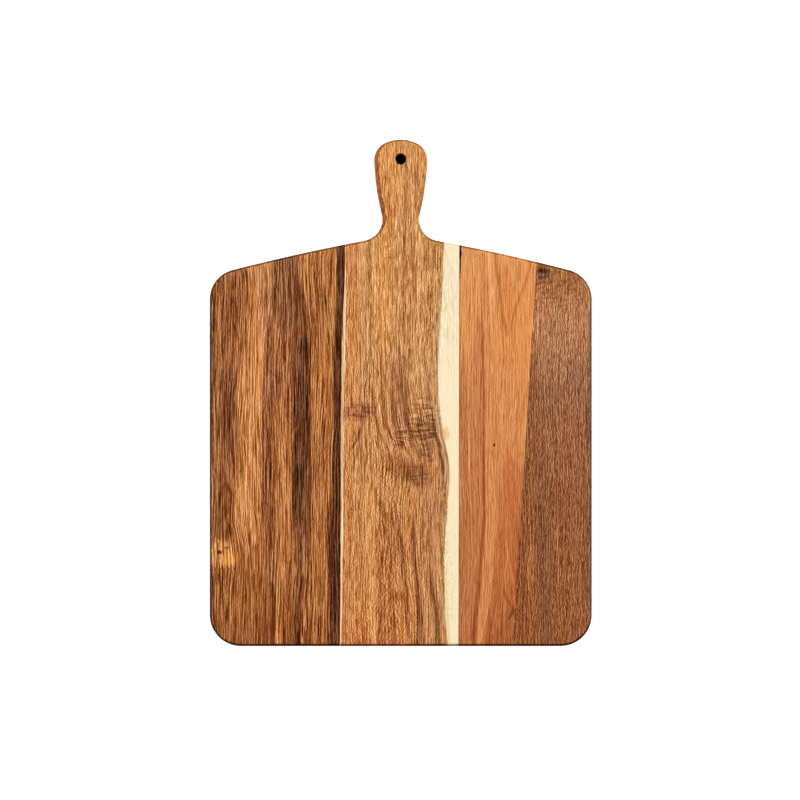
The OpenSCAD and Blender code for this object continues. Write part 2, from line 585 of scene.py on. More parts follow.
@dataclass(frozen=True)
class AcaciaFinish:
    """Planed and oiled acacia: a satin face with dark vessels along it and pale fibres between.

    The grade, the streaks and the blotches give the tints, and the layers, threads and ripples
    give stops of dark over them. Oil soaks in where the wood is open, so a darker place is redder
    too and a paler one yellower.

    Attributes:
        name: the material's name.
        grade: the ground tint at places along the board.
        layers: the sizes of fibre, of which the first also gives the sheen and the relief.
        streaks: the bands of another tint, each over the one before.
        threads: the thin darker and paler lines.
        seed: where this wood lies in the noise.
        lean: how far the pattern moves to the right for each millimetre below the face.
        blotches: the ovals of another tint, over the streaks.
        ripples: the ovals of short bands.
        swirls: the ovals round which the grain bends.
        flows: the sideways bends of the fibres.
        edges: the end grain's tone and the painted shade and highlights of the cut and rounded
            faces.
        reddening: how much redder each stop of dark makes the wood.
        lift: the stops taken from the layers, which add up to dark.
        palest: the stops that a fibre may be paler than the tint.
        palest_soft: how softly that limit comes in.
        pale_span: the brightness at which wood begins to be pale, and that at which it is.
        pale_calm: the share of its contrast that pale wood keeps.
        thread_depth: what a thread's stops are multiplied by.
        thread_reach: the most stops that a thread can have.
        thread_taper_mm: how far a thread runs out past each of its ends.
        thread_fade_mm: the width of a thread's soft edge.
        drift_mm: how far the fibres wander to either side.
        drift_cell_mm: the distances over which they wander.
        rag_mm: how far the edge of a streak is torn to either side.
        rag_cell_mm: the size of those tears.
        pore_tint: the colour of the open pores.
        pore_strength: how much of that colour shows.
        pore_span: the noise at which a pore begins, and that at which it is whole.
        pore_cell_mm: the size of a pore.
        fibre_span: the noise of the first layer over which the roughness changes.
        roughness: the roughness of an oiled satin face, at either end of that.
        specular: the specular level, low because the face has no varnish on it.
        bump_strength: the strength of the relief.
        bump_mm: the depth of the relief.
    """

    name: str
    grade: tuple[tuple[float, str], ...]
    layers: tuple[Layer, ...]
    streaks: tuple[Streak, ...]
    threads: tuple[Thread, ...]
    seed: float
    lean: float
    blotches: tuple[Blotch, ...] = ()
    ripples: tuple[Ripple, ...] = ()
    swirls: tuple[Swirl, ...] = ()
    flows: tuple[Flow, ...] = ()
    edges: EdgeTone = EdgeTone()
    reddening: float = 0.27
    lift: float = 0.6
    palest: float = 0.55
    palest_soft: float = 0.4
    pale_span: Span = (0.45, 0.8)
    pale_calm: float = 0.25
    thread_depth: float = 1.5
    thread_reach: float = 2.0
    thread_taper_mm: float = 7.0
    thread_fade_mm: float = 1.1
    drift_mm: float = 5.0
    drift_cell_mm: Size = (40.0, 110.0, 40.0)
    rag_mm: float = 1.4
    rag_cell_mm: Size = (1.1, 20.0, 2.0)
    pore_tint: str = "#2e170b"
    pore_strength: float = 0.6
    pore_span: Span = (0.64, 0.74)
    pore_cell_mm: Size = (0.85, 6.0, 1.1)
    fibre_span: Span = (0.35, 0.65)
    roughness: Span = (0.38, 0.47)
    specular: float = 0.08
    bump_strength: float = 0.25
    bump_mm: float = 0.1

    def build(self) -> bpy.types.Material:
        """Makes the material.

        Returns:
            The material, for any piece cut from this stave's wood.
        """
        material, net, principled = new_material(self.name)
        space = self._grain_space(net)
        colour = self._base_colour(net, space)
        vivid = net.add("MapRange", {"Value": net.add("RGBToBW", {"Color": colour}),
                                     "From Min": self.pale_span[0], "From Max": self.pale_span[1],
                                     "To Min": 1.0, "To Max": self.pale_calm})
        tone, fibre = self._layers(net, space.fibres)
        tone = net.add("Math", {0: tone, 1: self.lift}, operation="SUBTRACT")
        tone = net.add("Math", {0: tone, 1: -self.palest, 2: self.palest_soft},
                       operation="SMOOTH_MAX")
        tone = net.add("Math", {0: tone, 1: vivid}, operation="MULTIPLY")
        for lane in self._lanes():
            tone = net.add("Math", {0: tone, 1: self._lane_tone(net, lane, space)},
                           operation="ADD")
        tone = self._ripples(net, space.point, tone)
        # Darker end grain, painted shade on the rounded edges, the foot's edge and the bore, and
        # painted highlights along the turn and at the bore's mouth
        tone = self.edges.lay(net, space, vivid, tone)
        colour = self._darkened(net, colour, tone)
        colour = self._pores(net, colour, space.fibres, vivid)
        net.feed(principled, "Base Color", colour)
        net.feed(principled, "Specular IOR Level", self.specular)
        rough = net.add("MapRange", {
            "Value": fibre, "From Min": self.fibre_span[0], "From Max": self.fibre_span[1],
            "To Min": self.roughness[0], "To Max": self.roughness[1]})
        net.feed(principled, "Roughness", rough)
        bump = net.add("Bump", {"Strength": self.bump_strength, "Distance": self.bump_mm * MM,
                                "Height": fibre}, invert=True)
        net.feed(principled, "Normal", bump)
        return material

    def _grain_space(self, net: Wiring) -> GrainSpace:
        """Makes the places that the features and fibres are drawn in.

        Args:
            net: the material's wiring.

        Returns:
            The places of any point of the stave.
        """
        place = net.add("TexCoord", output="Object")
        flat = net.add("Mapping", {"Vector": place, "Scale": (1 / MM, 1 / MM, 1 / MM)})
        x = net.add("SeparateXYZ", {0: flat})
        y, z = x.node.outputs[1], x.node.outputs[2]
        depth = net.add("Math", {0: z, 1: THICKNESS_MM}, operation="SUBTRACT")
        middle = net.add("Math", {0: depth, 1: self.lean, 2: x}, operation="MULTIPLY_ADD")
        for swirl in self.swirls:
            mask = soft_oval(net, flat, swirl.centre, swirl.radii)
            offset = net.add("Math", {0: x, 1: swirl.centre[0]}, operation="SUBTRACT")
            pull = net.add("Math", {0: offset, 1: -swirl.push}, operation="MULTIPLY")
            middle = net.add("Math", {0: mask, 1: pull, 2: middle}, operation="MULTIPLY_ADD",
                             label=swirl.name)
        point = net.add("CombineXYZ", {0: middle, 1: y, 2: z})
        across = net.add("MapRange", {"Value": middle, "From Min": -HALF_WIDTH_MM,
                                      "From Max": HALF_WIDTH_MM})
        along = net.add("MapRange", {"Value": y, "From Min": -HALF_LENGTH_MM,
                                     "From Max": HALF_LENGTH_MM})
        wander = self._noise(net, point, self.drift_cell_mm, NoiseStart.DRIFT.value, detail=1.0)
        drift = net.add("Math", {0: wander, 1: NOISE_MIDDLE}, operation="SUBTRACT")
        fibre_x = net.add("Math", {0: drift, 1: 2 * self.drift_mm, 2: middle},
                          operation="MULTIPLY_ADD")
        for flow in self.flows:
            bend = self._bend(net, flow, across, along)
            fibre_x = net.add("Math", {0: fibre_x, 1: bend}, operation="SUBTRACT",
                              label=flow.name)
        fibres = net.add("CombineXYZ", {0: fibre_x, 1: y, 2: z})
        rag = self._noise(net, fibres, self.rag_cell_mm, NoiseStart.RAG.value, detail=2.0,
                          roughness=0.6)
        shift = net.add("Math", {0: rag, 1: NOISE_MIDDLE}, operation="SUBTRACT")
        torn = net.add("Math", {0: shift, 1: 2 * self.rag_mm, 2: middle},
                       operation="MULTIPLY_ADD")
        ragged = net.add("MapRange", {"Value": torn, "From Min": -HALF_WIDTH_MM,
                                      "From Max": HALF_WIDTH_MM})
        return GrainSpace(point, fibres, across, ragged, along)

    def _bend(self, net: Wiring, flow: Flow, across: Socket, along: Socket) -> Socket:
        """Makes how far one flow moves the fibres to the right at a point.

        Args:
            net: the material's wiring.
            flow: the flow.
            across: the place across, from 0 to 1.
            along: the place along, from 0 to 1.

        Returns:
            The move in millimetres.
        """
        moves = [(share_along(place), move / flow.reach_mm) for place, move in flow.bend]
        shares = [(share_across(place), part) for place, part in flow.share]
        height = bend_curve(net.add("FloatCurve", {"Value": along}), moves)
        share = bend_curve(net.add("FloatCurve", {"Value": across}), shares)
        part = net.add("Math", {0: height, 1: share}, operation="MULTIPLY")
        return net.add("Math", {0: part, 1: flow.reach_mm}, operation="MULTIPLY")

    def _base_colour(self, net: Wiring, space: GrainSpace) -> Socket:
        """Lays the grade, the streaks and the blotches over one another.

        Args:
            net: the material's wiring.
            space: where the point is.

        Returns:
            The colour before the fibres.
        """
        colour = net.add("ValToRGB", {"Fac": space.along})
        ramp = colour.node.color_ramp
        ramp.elements.remove(ramp.elements[1])
        for number, (place, tint) in enumerate(self.grade):
            spot = share_along(place)
            stop = ramp.elements.new(spot) if number else ramp.elements[0]
            stop.position = spot
            stop.color = linear(tint)
        for feature in (*self.streaks, *self.blotches):
            if isinstance(feature, Streak):
                mask = self._streak_mask(net, feature, space)
            else:
                oval = soft_oval(net, space.point, feature.centre, feature.radii)
                mask = net.add("Math", {0: oval, 1: feature.strength}, operation="MULTIPLY")
            colour = net.add("Mix", {net.MIX_FACTOR: mask, net.MIX_A: colour,
                                     net.MIX_B: linear(feature.tint)},
                             net.MIX_RESULT, data_type="RGBA", label=feature.name)
        return colour

    def _streak_mask(self, net: Wiring, streak: Streak, space: GrainSpace) -> Socket:
        """Makes the strength of one streak at a point.

        Args:
            net: the material's wiring.
            streak: the streak.
            space: where the point is.

        Returns:
            The strength, from 0 beside the streak to its own strength within it.
        """
        across = space.across if streak.sawn else space.ragged
        room = ribbon(net, streak.path, streak.fade, across, space.along)
        return net.add("MapRange", {"Value": room, "From Min": 0.0,
                                    "From Max": streak.fade / (2 * HALF_WIDTH_MM),
                                    "To Min": 0.0, "To Max": streak.strength},
                       interpolation_type="SMOOTHSTEP")

    def _lanes(self) -> list[list[Thread]]:
        """Sorts the threads into lanes, in each of which one ends before the next one starts.

        Returns:
            The lanes, so that one set of curves serves all the threads in it.
        """
        lanes: list[list[Thread]] = []
        for thread in sorted(self.threads, key=lambda one: one.path[0][0]):
            start = thread.path[0][0] - 2 * self.thread_taper_mm
            lane = next((one for one in lanes if one[-1].path[-1][0] < start), None)
            if lane is None:
                lanes.append([thread])
            else:
                lane.append(thread)
        return lanes

    def _lane_tone(self, net: Wiring, lane: list[Thread], space: GrainSpace) -> Socket:
        """Makes the stops that one lane's threads add at a point.

        Args:
            net: the material's wiring.
            lane: the threads, from the foot to the tip.
            space: where the point is.

        Returns:
            The stops, zero beside the threads.
        """
        path, heights = [], []
        for thread in lane:
            first, last = thread.path[0], thread.path[-1]
            tapered = [(first[0] - self.thread_taper_mm, first[1], 0.0), *thread.path,
                       (last[0] + self.thread_taper_mm, last[1], 0.0)]
            stops = thread.stops * self.thread_depth
            height = (stops + self.thread_reach) / (2 * self.thread_reach)
            path.extend(tapered)
            heights.extend((share_along(place), height) for place, _, _ in tapered)
        room = ribbon(net, path, self.thread_fade_mm, space.ragged, space.along)
        mask = net.add("MapRange", {"Value": room, "From Min": 0.0,
                                    "From Max": self.thread_fade_mm / (2 * HALF_WIDTH_MM)},
                       interpolation_type="SMOOTHSTEP")
        depth = bend_curve(net.add("FloatCurve", {"Value": space.along}), heights)
        stops = net.add("MapRange", {"Value": depth, "To Min": -self.thread_reach,
                                     "To Max": self.thread_reach})
        return net.add("Math", {0: mask, 1: stops}, operation="MULTIPLY")

    def _layers(self, net: Wiring, fibres: Socket) -> tuple[Socket, Socket]:
        """Adds up the fibres of every size.

        Args:
            net: the material's wiring.
            fibres: the drifting point in millimetres.

        Returns:
            How many stops darker than its written tint the wood is, and the noise of the first
            layer's fibres, from 0 to 1.
        """
        tone: Value = 0.0
        first: Socket | None = None
        for number, layer in enumerate(self.layers):
            cell = (layer.width, layer.length, layer.width)
            start = NoiseStart.LAYERS.value + LAYER_STEP * number
            noise = self._noise(net, fibres, cell, start)
            first = first or noise
            if layer.paired:
                beside = net.add("VectorMath", {0: fibres, 1: (layer.width, 0.0, 0.0)},
                                 operation="ADD")
                other = self._noise(net, beside, cell, start)
                apart = net.add("Math", {0: noise, 1: other}, operation="SUBTRACT")
                noise = net.add("Math", {0: apart, 1: NOISE_MIDDLE}, operation="ADD")
            swing = net.add("MapRange", {
                "Value": noise, "From Min": layer.low, "From Max": layer.high,
                "To Min": -layer.pale, "To Max": layer.dark}, interpolation_type="SMOOTHSTEP")
            if layer.beads:
                size = (2 * layer.width, layer.beads, 2 * layer.width)
                rise = self._noise(net, fibres, size, start + BEAD_STEP)
                show = net.add("MapRange", {
                    "Value": rise, "From Min": layer.bead[0], "From Max": layer.bead[1],
                    "To Min": 0.0, "To Max": layer.bead_peak})
                swing = net.add("Math", {0: swing, 1: show}, operation="MULTIPLY")
            tone = net.add("Math", {0: swing, 1: tone}, operation="ADD")
        return tone, first

    def _ripples(self, net: Wiring, point: Socket, tone: Socket) -> Socket:
        """Adds the short bands of every ripple.

        Args:
            net: the material's wiring.
            point: the point in millimetres.
            tone: the stops so far.

        Returns:
            The stops with the ripples.
        """
        for number, ripple in enumerate(self.ripples):
            turned = net.add("Mapping", {"Vector": point,
                                         "Rotation": (0.0, 0.0, math.radians(ripple.slant))})
            length, height = ripple.size
            bands = self._noise(net, turned, (length, height, height),
                                NoiseStart.RIPPLES.value + RIPPLE_STEP * number, detail=1.5)
            oval = soft_oval(net, point, ripple.centre, ripple.radii)
            dark = net.add("MapRange", {
                "Value": bands, "From Min": ripple.band[0], "From Max": ripple.band[1],
                "To Min": -ripple.light_share * ripple.depth, "To Max": ripple.depth})
            tone = net.add("Math", {0: oval, 1: dark, 2: tone}, operation="MULTIPLY_ADD",
                           label=ripple.name)
        return tone

    def _darkened(self, net: Wiring, colour: Socket, tone: Socket) -> Socket:
        """Darkens the colour by the stops, and reddens it as it darkens.

        A power above one takes more from a low channel than from a high one. The gain leaves a
        channel that lies two stops below white to darken by just the stops.

        Args:
            net: the material's wiring.
            colour: the colour as it is written.
            tone: how many stops darker it gets.

        Returns:
            The darker colour.
        """
        power = net.add("Math", {0: tone, 1: self.reddening, 2: 1.0}, operation="MULTIPLY_ADD")
        colour = net.add("Gamma", {"Color": colour, "Gamma": power})
        stops = net.add("Math", {0: tone, 1: self.reddening * EVEN_STOPS - 1},
                        operation="MULTIPLY")
        gain = net.add("Math", {0: 2.0, 1: stops}, operation="POWER")
        return net.add("VectorMath", {0: colour, "Scale": gain}, operation="SCALE")

    def _pores(self, net: Wiring, colour: Socket, fibres: Socket, vivid: Socket) -> Socket:
        """Adds the open pores, short dark dashes along the grain.

        Args:
            net: the material's wiring.
            colour: the wood's colour.
            fibres: the drifting point in millimetres.
            vivid: how much of its contrast the wood keeps here, less where it is pale.

        Returns:
            The colour with its pores.
        """
        noise = self._noise(net, fibres, self.pore_cell_mm, NoiseStart.PORES.value, detail=1.0)
        dark = net.add("MapRange", {
            "Value": noise, "From Min": self.pore_span[0], "From Max": self.pore_span[1],
            "To Min": 0.0, "To Max": self.pore_strength})
        dark = net.add("Math", {0: dark, 1: vivid}, operation="MULTIPLY")
        return net.add("Mix", {net.MIX_FACTOR: dark, net.MIX_A: colour,
                               net.MIX_B: linear(self.pore_tint)},
                       net.MIX_RESULT, data_type="RGBA", label="open pores")

    def _noise(self, net: Wiring, point: Socket, cell: Size, start: float,
               detail: float = 0.0, roughness: float = 0.5) -> Socket:
        """Makes noise whose cells have a size in millimetres.

        Args:
            net: the material's wiring.
            point: the point in millimetres.
            cell: one cell's size across, along and through the board.
            start: where in the noise this use starts, beside the wood's own seed.
            detail: how many finer layers are added.
            roughness: how strong those layers are.

        Returns:
            The noise, from 0 to 1 about its middle.
        """
        origin = self.seed + start
        place = net.add("Mapping", {"Vector": point, "Location": (origin, origin / 3, origin / 7),
                                    "Rotation": (0.0, NOISE_TURN, 0.0),
                                    "Scale": tuple(1 / size for size in cell)})
        return net.add("TexNoise", {"Vector": place, "Scale": 1.0, "Detail": detail,
                                    "Roughness": roughness})


@dataclass(frozen=True)
class GlueFinish:
    """A cured film of wood glue, dull beside the planed wood and stained by oil and dust."""

    name: str
    tint: str
    dark_tint: str
    stain_cell_mm: Size = (3.33, 11.1, 3.33)
    stain_detail: float = 3.0
    stain_span: Span = (0.35, 0.65)
    roughness: float = 0.7

    def build(self) -> bpy.types.Material:
        """Makes the material.

        Returns:
            The material, for the film in any joint.
        """
        material, net, principled = new_material(self.name)
        place = net.add("TexCoord", output="Object")
        point = net.add("Mapping", {"Vector": place,
                                    "Scale": tuple(1 / (size * MM) for size in self.stain_cell_mm)})
        noise = net.add("TexNoise", {"Vector": point, "Scale": 1.0, "Detail": self.stain_detail})
        stain = net.add("MapRange", {"Value": noise, "From Min": self.stain_span[0],
                                     "From Max": self.stain_span[1]})
        colour = net.add("Mix", {net.MIX_FACTOR: stain, net.MIX_A: linear(self.dark_tint),
                                 net.MIX_B: linear(self.tint)},
                         net.MIX_RESULT, data_type="RGBA", label="stains")
        net.feed(principled, "Base Color", colour)
        net.feed(principled, "Roughness", self.roughness)
        return material


@dataclass(frozen=True)
class Stave:
    """One sawn and planed stave, dressed over a clean copy of its CAD solid.

    Attributes:
        node: the CAD node that it stands for.
        slot: the record's material slot of its wood, which is not used.
        finish: its wood.
        flaws: what is cut into its serving face.
        weld_mm: how near to one another loose corners are joined.
        level_deg: the angle under which neighbouring faces become one.
        crease_deg: the angle from which an edge stays sharp.
    """

    node: str
    slot: Slot
    finish: AcaciaFinish
    flaws: tuple[Flaw, ...] = ()
    weld_mm: float = 0.002
    level_deg: float = 0.2
    crease_deg: float = 32.0

    def build(self) -> bpy.types.Object:
        """Makes the stave's piece.

        Returns:
            The piece, which rides on the board and stands for the CAD node.
        """
        mesh = self._joined()
        if self.flaws:
            mesh = self._cut(mesh)
        self._crease(mesh)
        mesh.materials.append(self.finish.build())
        piece = add_object(f"{self.node}_wood", mesh)
        smooth = piece.modifiers.new("even shading", "WEIGHTED_NORMAL")
        smooth.keep_sharp = True
        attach(piece, ROOT_BODY)
        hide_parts(self.node)
        return piece

    def _joined(self) -> bpy.types.Mesh:
        """Copies the CAD mesh and joins its loose triangles.

        Returns:
            The copy, closed and with its faces outwards, in metres and in the board's frame.
        """
        shape = bmesh.new()
        shape.from_mesh(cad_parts[self.node].data)
        bmesh.ops.remove_doubles(shape, verts=shape.verts, dist=self.weld_mm * MM)
        bmesh.ops.dissolve_limit(shape, angle_limit=math.radians(self.level_deg),
                                 verts=shape.verts, edges=shape.edges)
        bmesh.ops.recalc_face_normals(shape, faces=shape.faces)
        if shape.calc_volume(signed=True) < 0:
            bmesh.ops.reverse_faces(shape, faces=shape.faces)
        return mesh_of(shape, f"{self.node}_wood")

    def _cut(self, mesh: bpy.types.Mesh) -> bpy.types.Mesh:
        """Cuts the stave's flaws.

        Args:
            mesh: the whole stave.

        Returns:
            The mesh with its flaws, from which the cutters are gone again.
        """
        whole = add_object("uncut stave", mesh)
        cutters = [flaw.build() for flaw in self.flaws]
        for cutter in cutters:
            cut = whole.modifiers.new(cutter.name, "BOOLEAN")
            cut.object = cutter
            cut.operation = "DIFFERENCE"
            cut.solver = "EXACT"
        bpy.context.view_layer.update()
        ready = whole.evaluated_get(bpy.context.evaluated_depsgraph_get())
        result = bpy.data.meshes.new_from_object(ready)
        result.name = f"{self.node}_wood"
        for spare in (whole, *cutters):
            bpy.data.objects.remove(spare)
        return result

    def _crease(self, mesh: bpy.types.Mesh) -> None:
        """Shades the faces smooth and marks the edges that stay sharp.

        Args:
            mesh: the stave's mesh, which is changed in place.
        """
        shape = bmesh.new()
        shape.from_mesh(mesh)
        crease = math.radians(self.crease_deg)
        for face in shape.faces:
            face.smooth = True
        for edge in shape.edges:
            edge.smooth = edge.is_manifold and edge.calc_face_angle() < crease
        shape.to_mesh(mesh)
        shape.free()


@dataclass(frozen=True)
class GlueLine:
    """The thin film in one joint, which keeps its CAD solid and gets its own material."""

    node: str
    finish: GlueFinish

    def build(self) -> bpy.types.Object:
        """Dresses the CAD node.

        Returns:
            The node, whose mesh is left as it is.
        """
        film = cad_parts[self.node]
        material = self.finish.build()
        for holder in film.material_slots:
            holder.link = "OBJECT"
            holder.material = material
        return film


@dataclass(frozen=True)
class Board:
    """The whole board: four staves and the three glue lines between them."""

    staves: tuple[Stave, ...]
    films: tuple[GlueLine, ...]

    def build(self) -> None:
        """Builds every piece and says how large its mesh is."""
        for part in (*self.staves, *self.films):
            piece = part.build()
            log.info("%s: %d faces", piece.name, len(piece.data.polygons))


@dataclass(frozen=True)
class SoftBox:
    """One soft lamp that faces the board: its place and its side in metres, and its power."""

    name: str
    place: Size
    side: float
    watts: float

    def build(self) -> None:
        """Hangs the lamp, out of the camera's sight."""
        lamp = bpy.data.lights.new(self.name, "AREA")
        lamp.size = self.side
        lamp.energy = self.watts
        holder = add_object(self.name, lamp)
        holder.location = self.place
        holder.rotation_euler = Vector(self.place).to_track_quat("Z", "Y").to_euler()
        holder.visible_camera = False


@dataclass(frozen=True)
class Studio:
    """A copy stand: a white floor, soft light from both sides and a camera straight above.

    The floor has a painted shadow under the handle, so that the hanging hole looks deep. The
    world is white at the horizon and dim overhead, where the camera hangs: its strengths belong
    to two heights, which are the upright part of a direction.
    """

    lamps: tuple[SoftBox, ...] = (SoftBox("key", (1.95, 0.6, 1.4), 1.4, 53.0),
                                  SoftBox("fill", (-1.95, -0.35, 1.4), 1.4, 29.0))
    floor_m: float = 14.0
    floor_tint: float = 0.9
    floor_glow: float = 0.7
    floor_roughness: float = 0.9
    floor_specular: float = 0.1
    hole_shadow_tint: float = 0.03
    hole_shade_mm: Span = (12.0, 14.0)
    sky_heights: Span = (0.3, 0.75)
    sky_strengths: Span = (1.0, 0.08)
    lens_mm: float = 85.0
    sensor_mm: float = 36.0
    camera_height_m: float = 1.6283
    aim_mm: Place = (-0.67, -6.2)
    sight_m: Span = (0.05, 60.0)

    def build(self) -> None:
        """Makes the floor, the world, the lamps and the camera."""
        self._floor()
        self._world()
        for lamp in self.lamps:
            lamp.build()
        self._camera()

    def _floor(self) -> None:
        """Makes the white floor, which keeps shadows and glows a little for the camera."""
        shape = bmesh.new()
        bmesh.ops.create_grid(shape, x_segments=1, y_segments=1, size=self.floor_m / 2)
        mesh = mesh_of(shape, "studio_floor")
        mesh.materials.append(self._paper())
        floor = add_object("studio_floor", mesh)

    def _paper(self) -> bpy.types.Material:
        """Makes the floor's material: matt white paper with a painted shadow under the hanging hole.

        Returns:
            The material, which glows for rays from the camera and from glossy or clear things.
        """
        material, net, principled = new_material("white paper sweep")
        net.feed(principled, "Roughness", self.floor_roughness)
        net.feed(principled, "Specular IOR Level", self.floor_specular)
        net.feed(principled, "Emission Color", WHITE)
        rays = net.add("LightPath", output="Is Camera Ray")
        seen = rays
        for kind in ("Is Glossy Ray", "Is Transmission Ray"):
            seen = net.add("Math", {0: seen, 1: rays.node.outputs[kind]}, operation="MAXIMUM")
        place = net.add("TexCoord", output="Object")
        point = net.add("Mapping", {"Vector": place, "Scale": (1 / MM, 1 / MM, 1 / MM),
                                    "Location": (-HOLE_MM[0], -HOLE_MM[1], 0.0)})
        reach = net.add("VectorMath", {0: point}, output="Value", operation="LENGTH")
        near, far = self.hole_shade_mm
        outside = net.add("MapRange", {"Value": reach, "From Min": near, "From Max": far,
                                       "To Min": 0.0, "To Max": self.floor_glow})
        glow = net.add("Math", {0: seen, 1: outside}, operation="MULTIPLY")
        net.feed(principled, "Emission Strength", glow)
        # Painted shadow: the paper turns nearly black beneath the hanging hole
        shade = net.add("MapRange", {"Value": reach, "From Min": near, "From Max": far,
                                     "To Min": self.hole_shadow_tint, "To Max": self.floor_tint})
        net.feed(principled, "Base Color", shade)
        return material

    def _world(self) -> None:
        """Makes the plain sky."""
        world = bpy.data.worlds.new("studio")
        bpy.context.scene.world = world
        world.use_nodes = True
        net = Wiring(world.node_tree)
        turn = net.add("SeparateXYZ", {0: net.add("TexCoord", output="Generated")})
        strength = net.add("MapRange", {
            "Value": turn.node.outputs[2], "From Min": self.sky_heights[0],
            "From Max": self.sky_heights[1], "To Min": self.sky_strengths[0],
            "To Max": self.sky_strengths[1]})
        background = world.node_tree.nodes["Background"]
        net.feed(background, "Color", WHITE)
        net.feed(background, "Strength", strength)

    def _camera(self) -> None:
        """Hangs the camera straight above, framed as the photo is."""
        lens = bpy.data.cameras.new("copy_stand")
        lens.lens = self.lens_mm
        lens.sensor_width = self.sensor_mm
        lens.clip_start, lens.clip_end = self.sight_m
        camera = add_object("copy_stand", lens)
        camera.location = (self.aim_mm[0] * MM, self.aim_mm[1] * MM,
                           self.camera_height_m + THICKNESS_MM * MM)
        bpy.context.scene.camera = camera


# The left stave: red brown heartwood with gold bands, and a golden knot near its foot
LEFT_GRADE = ((-218, "#ad6838"), (-120, "#d48f54"), (0, "#b4744a"), (120, "#e09e5f"))

LEFT_LAYERS = (
    Layer(0.75, 24.0, 1.25, 0.36, paired=True),
    Layer(0.6, 3.5, 1.0, 0.3, paired=True),
    Layer(0.8, 90.0, 1.25, 0.27, paired=True, beads=14.0),
    Layer(1.6, 70.0, 0.42, 0.12, 0.34, 0.66, beads=20.0),
    Layer(4.5, 120.0, 0.14, 0.06),
    Layer(0.65, 34.0, 1.9, 0.0, 0.59, 0.68),
    Layer(0.6, 50.0, 2.3, 0.0, 0.61, 0.67, beads=9.0),
)

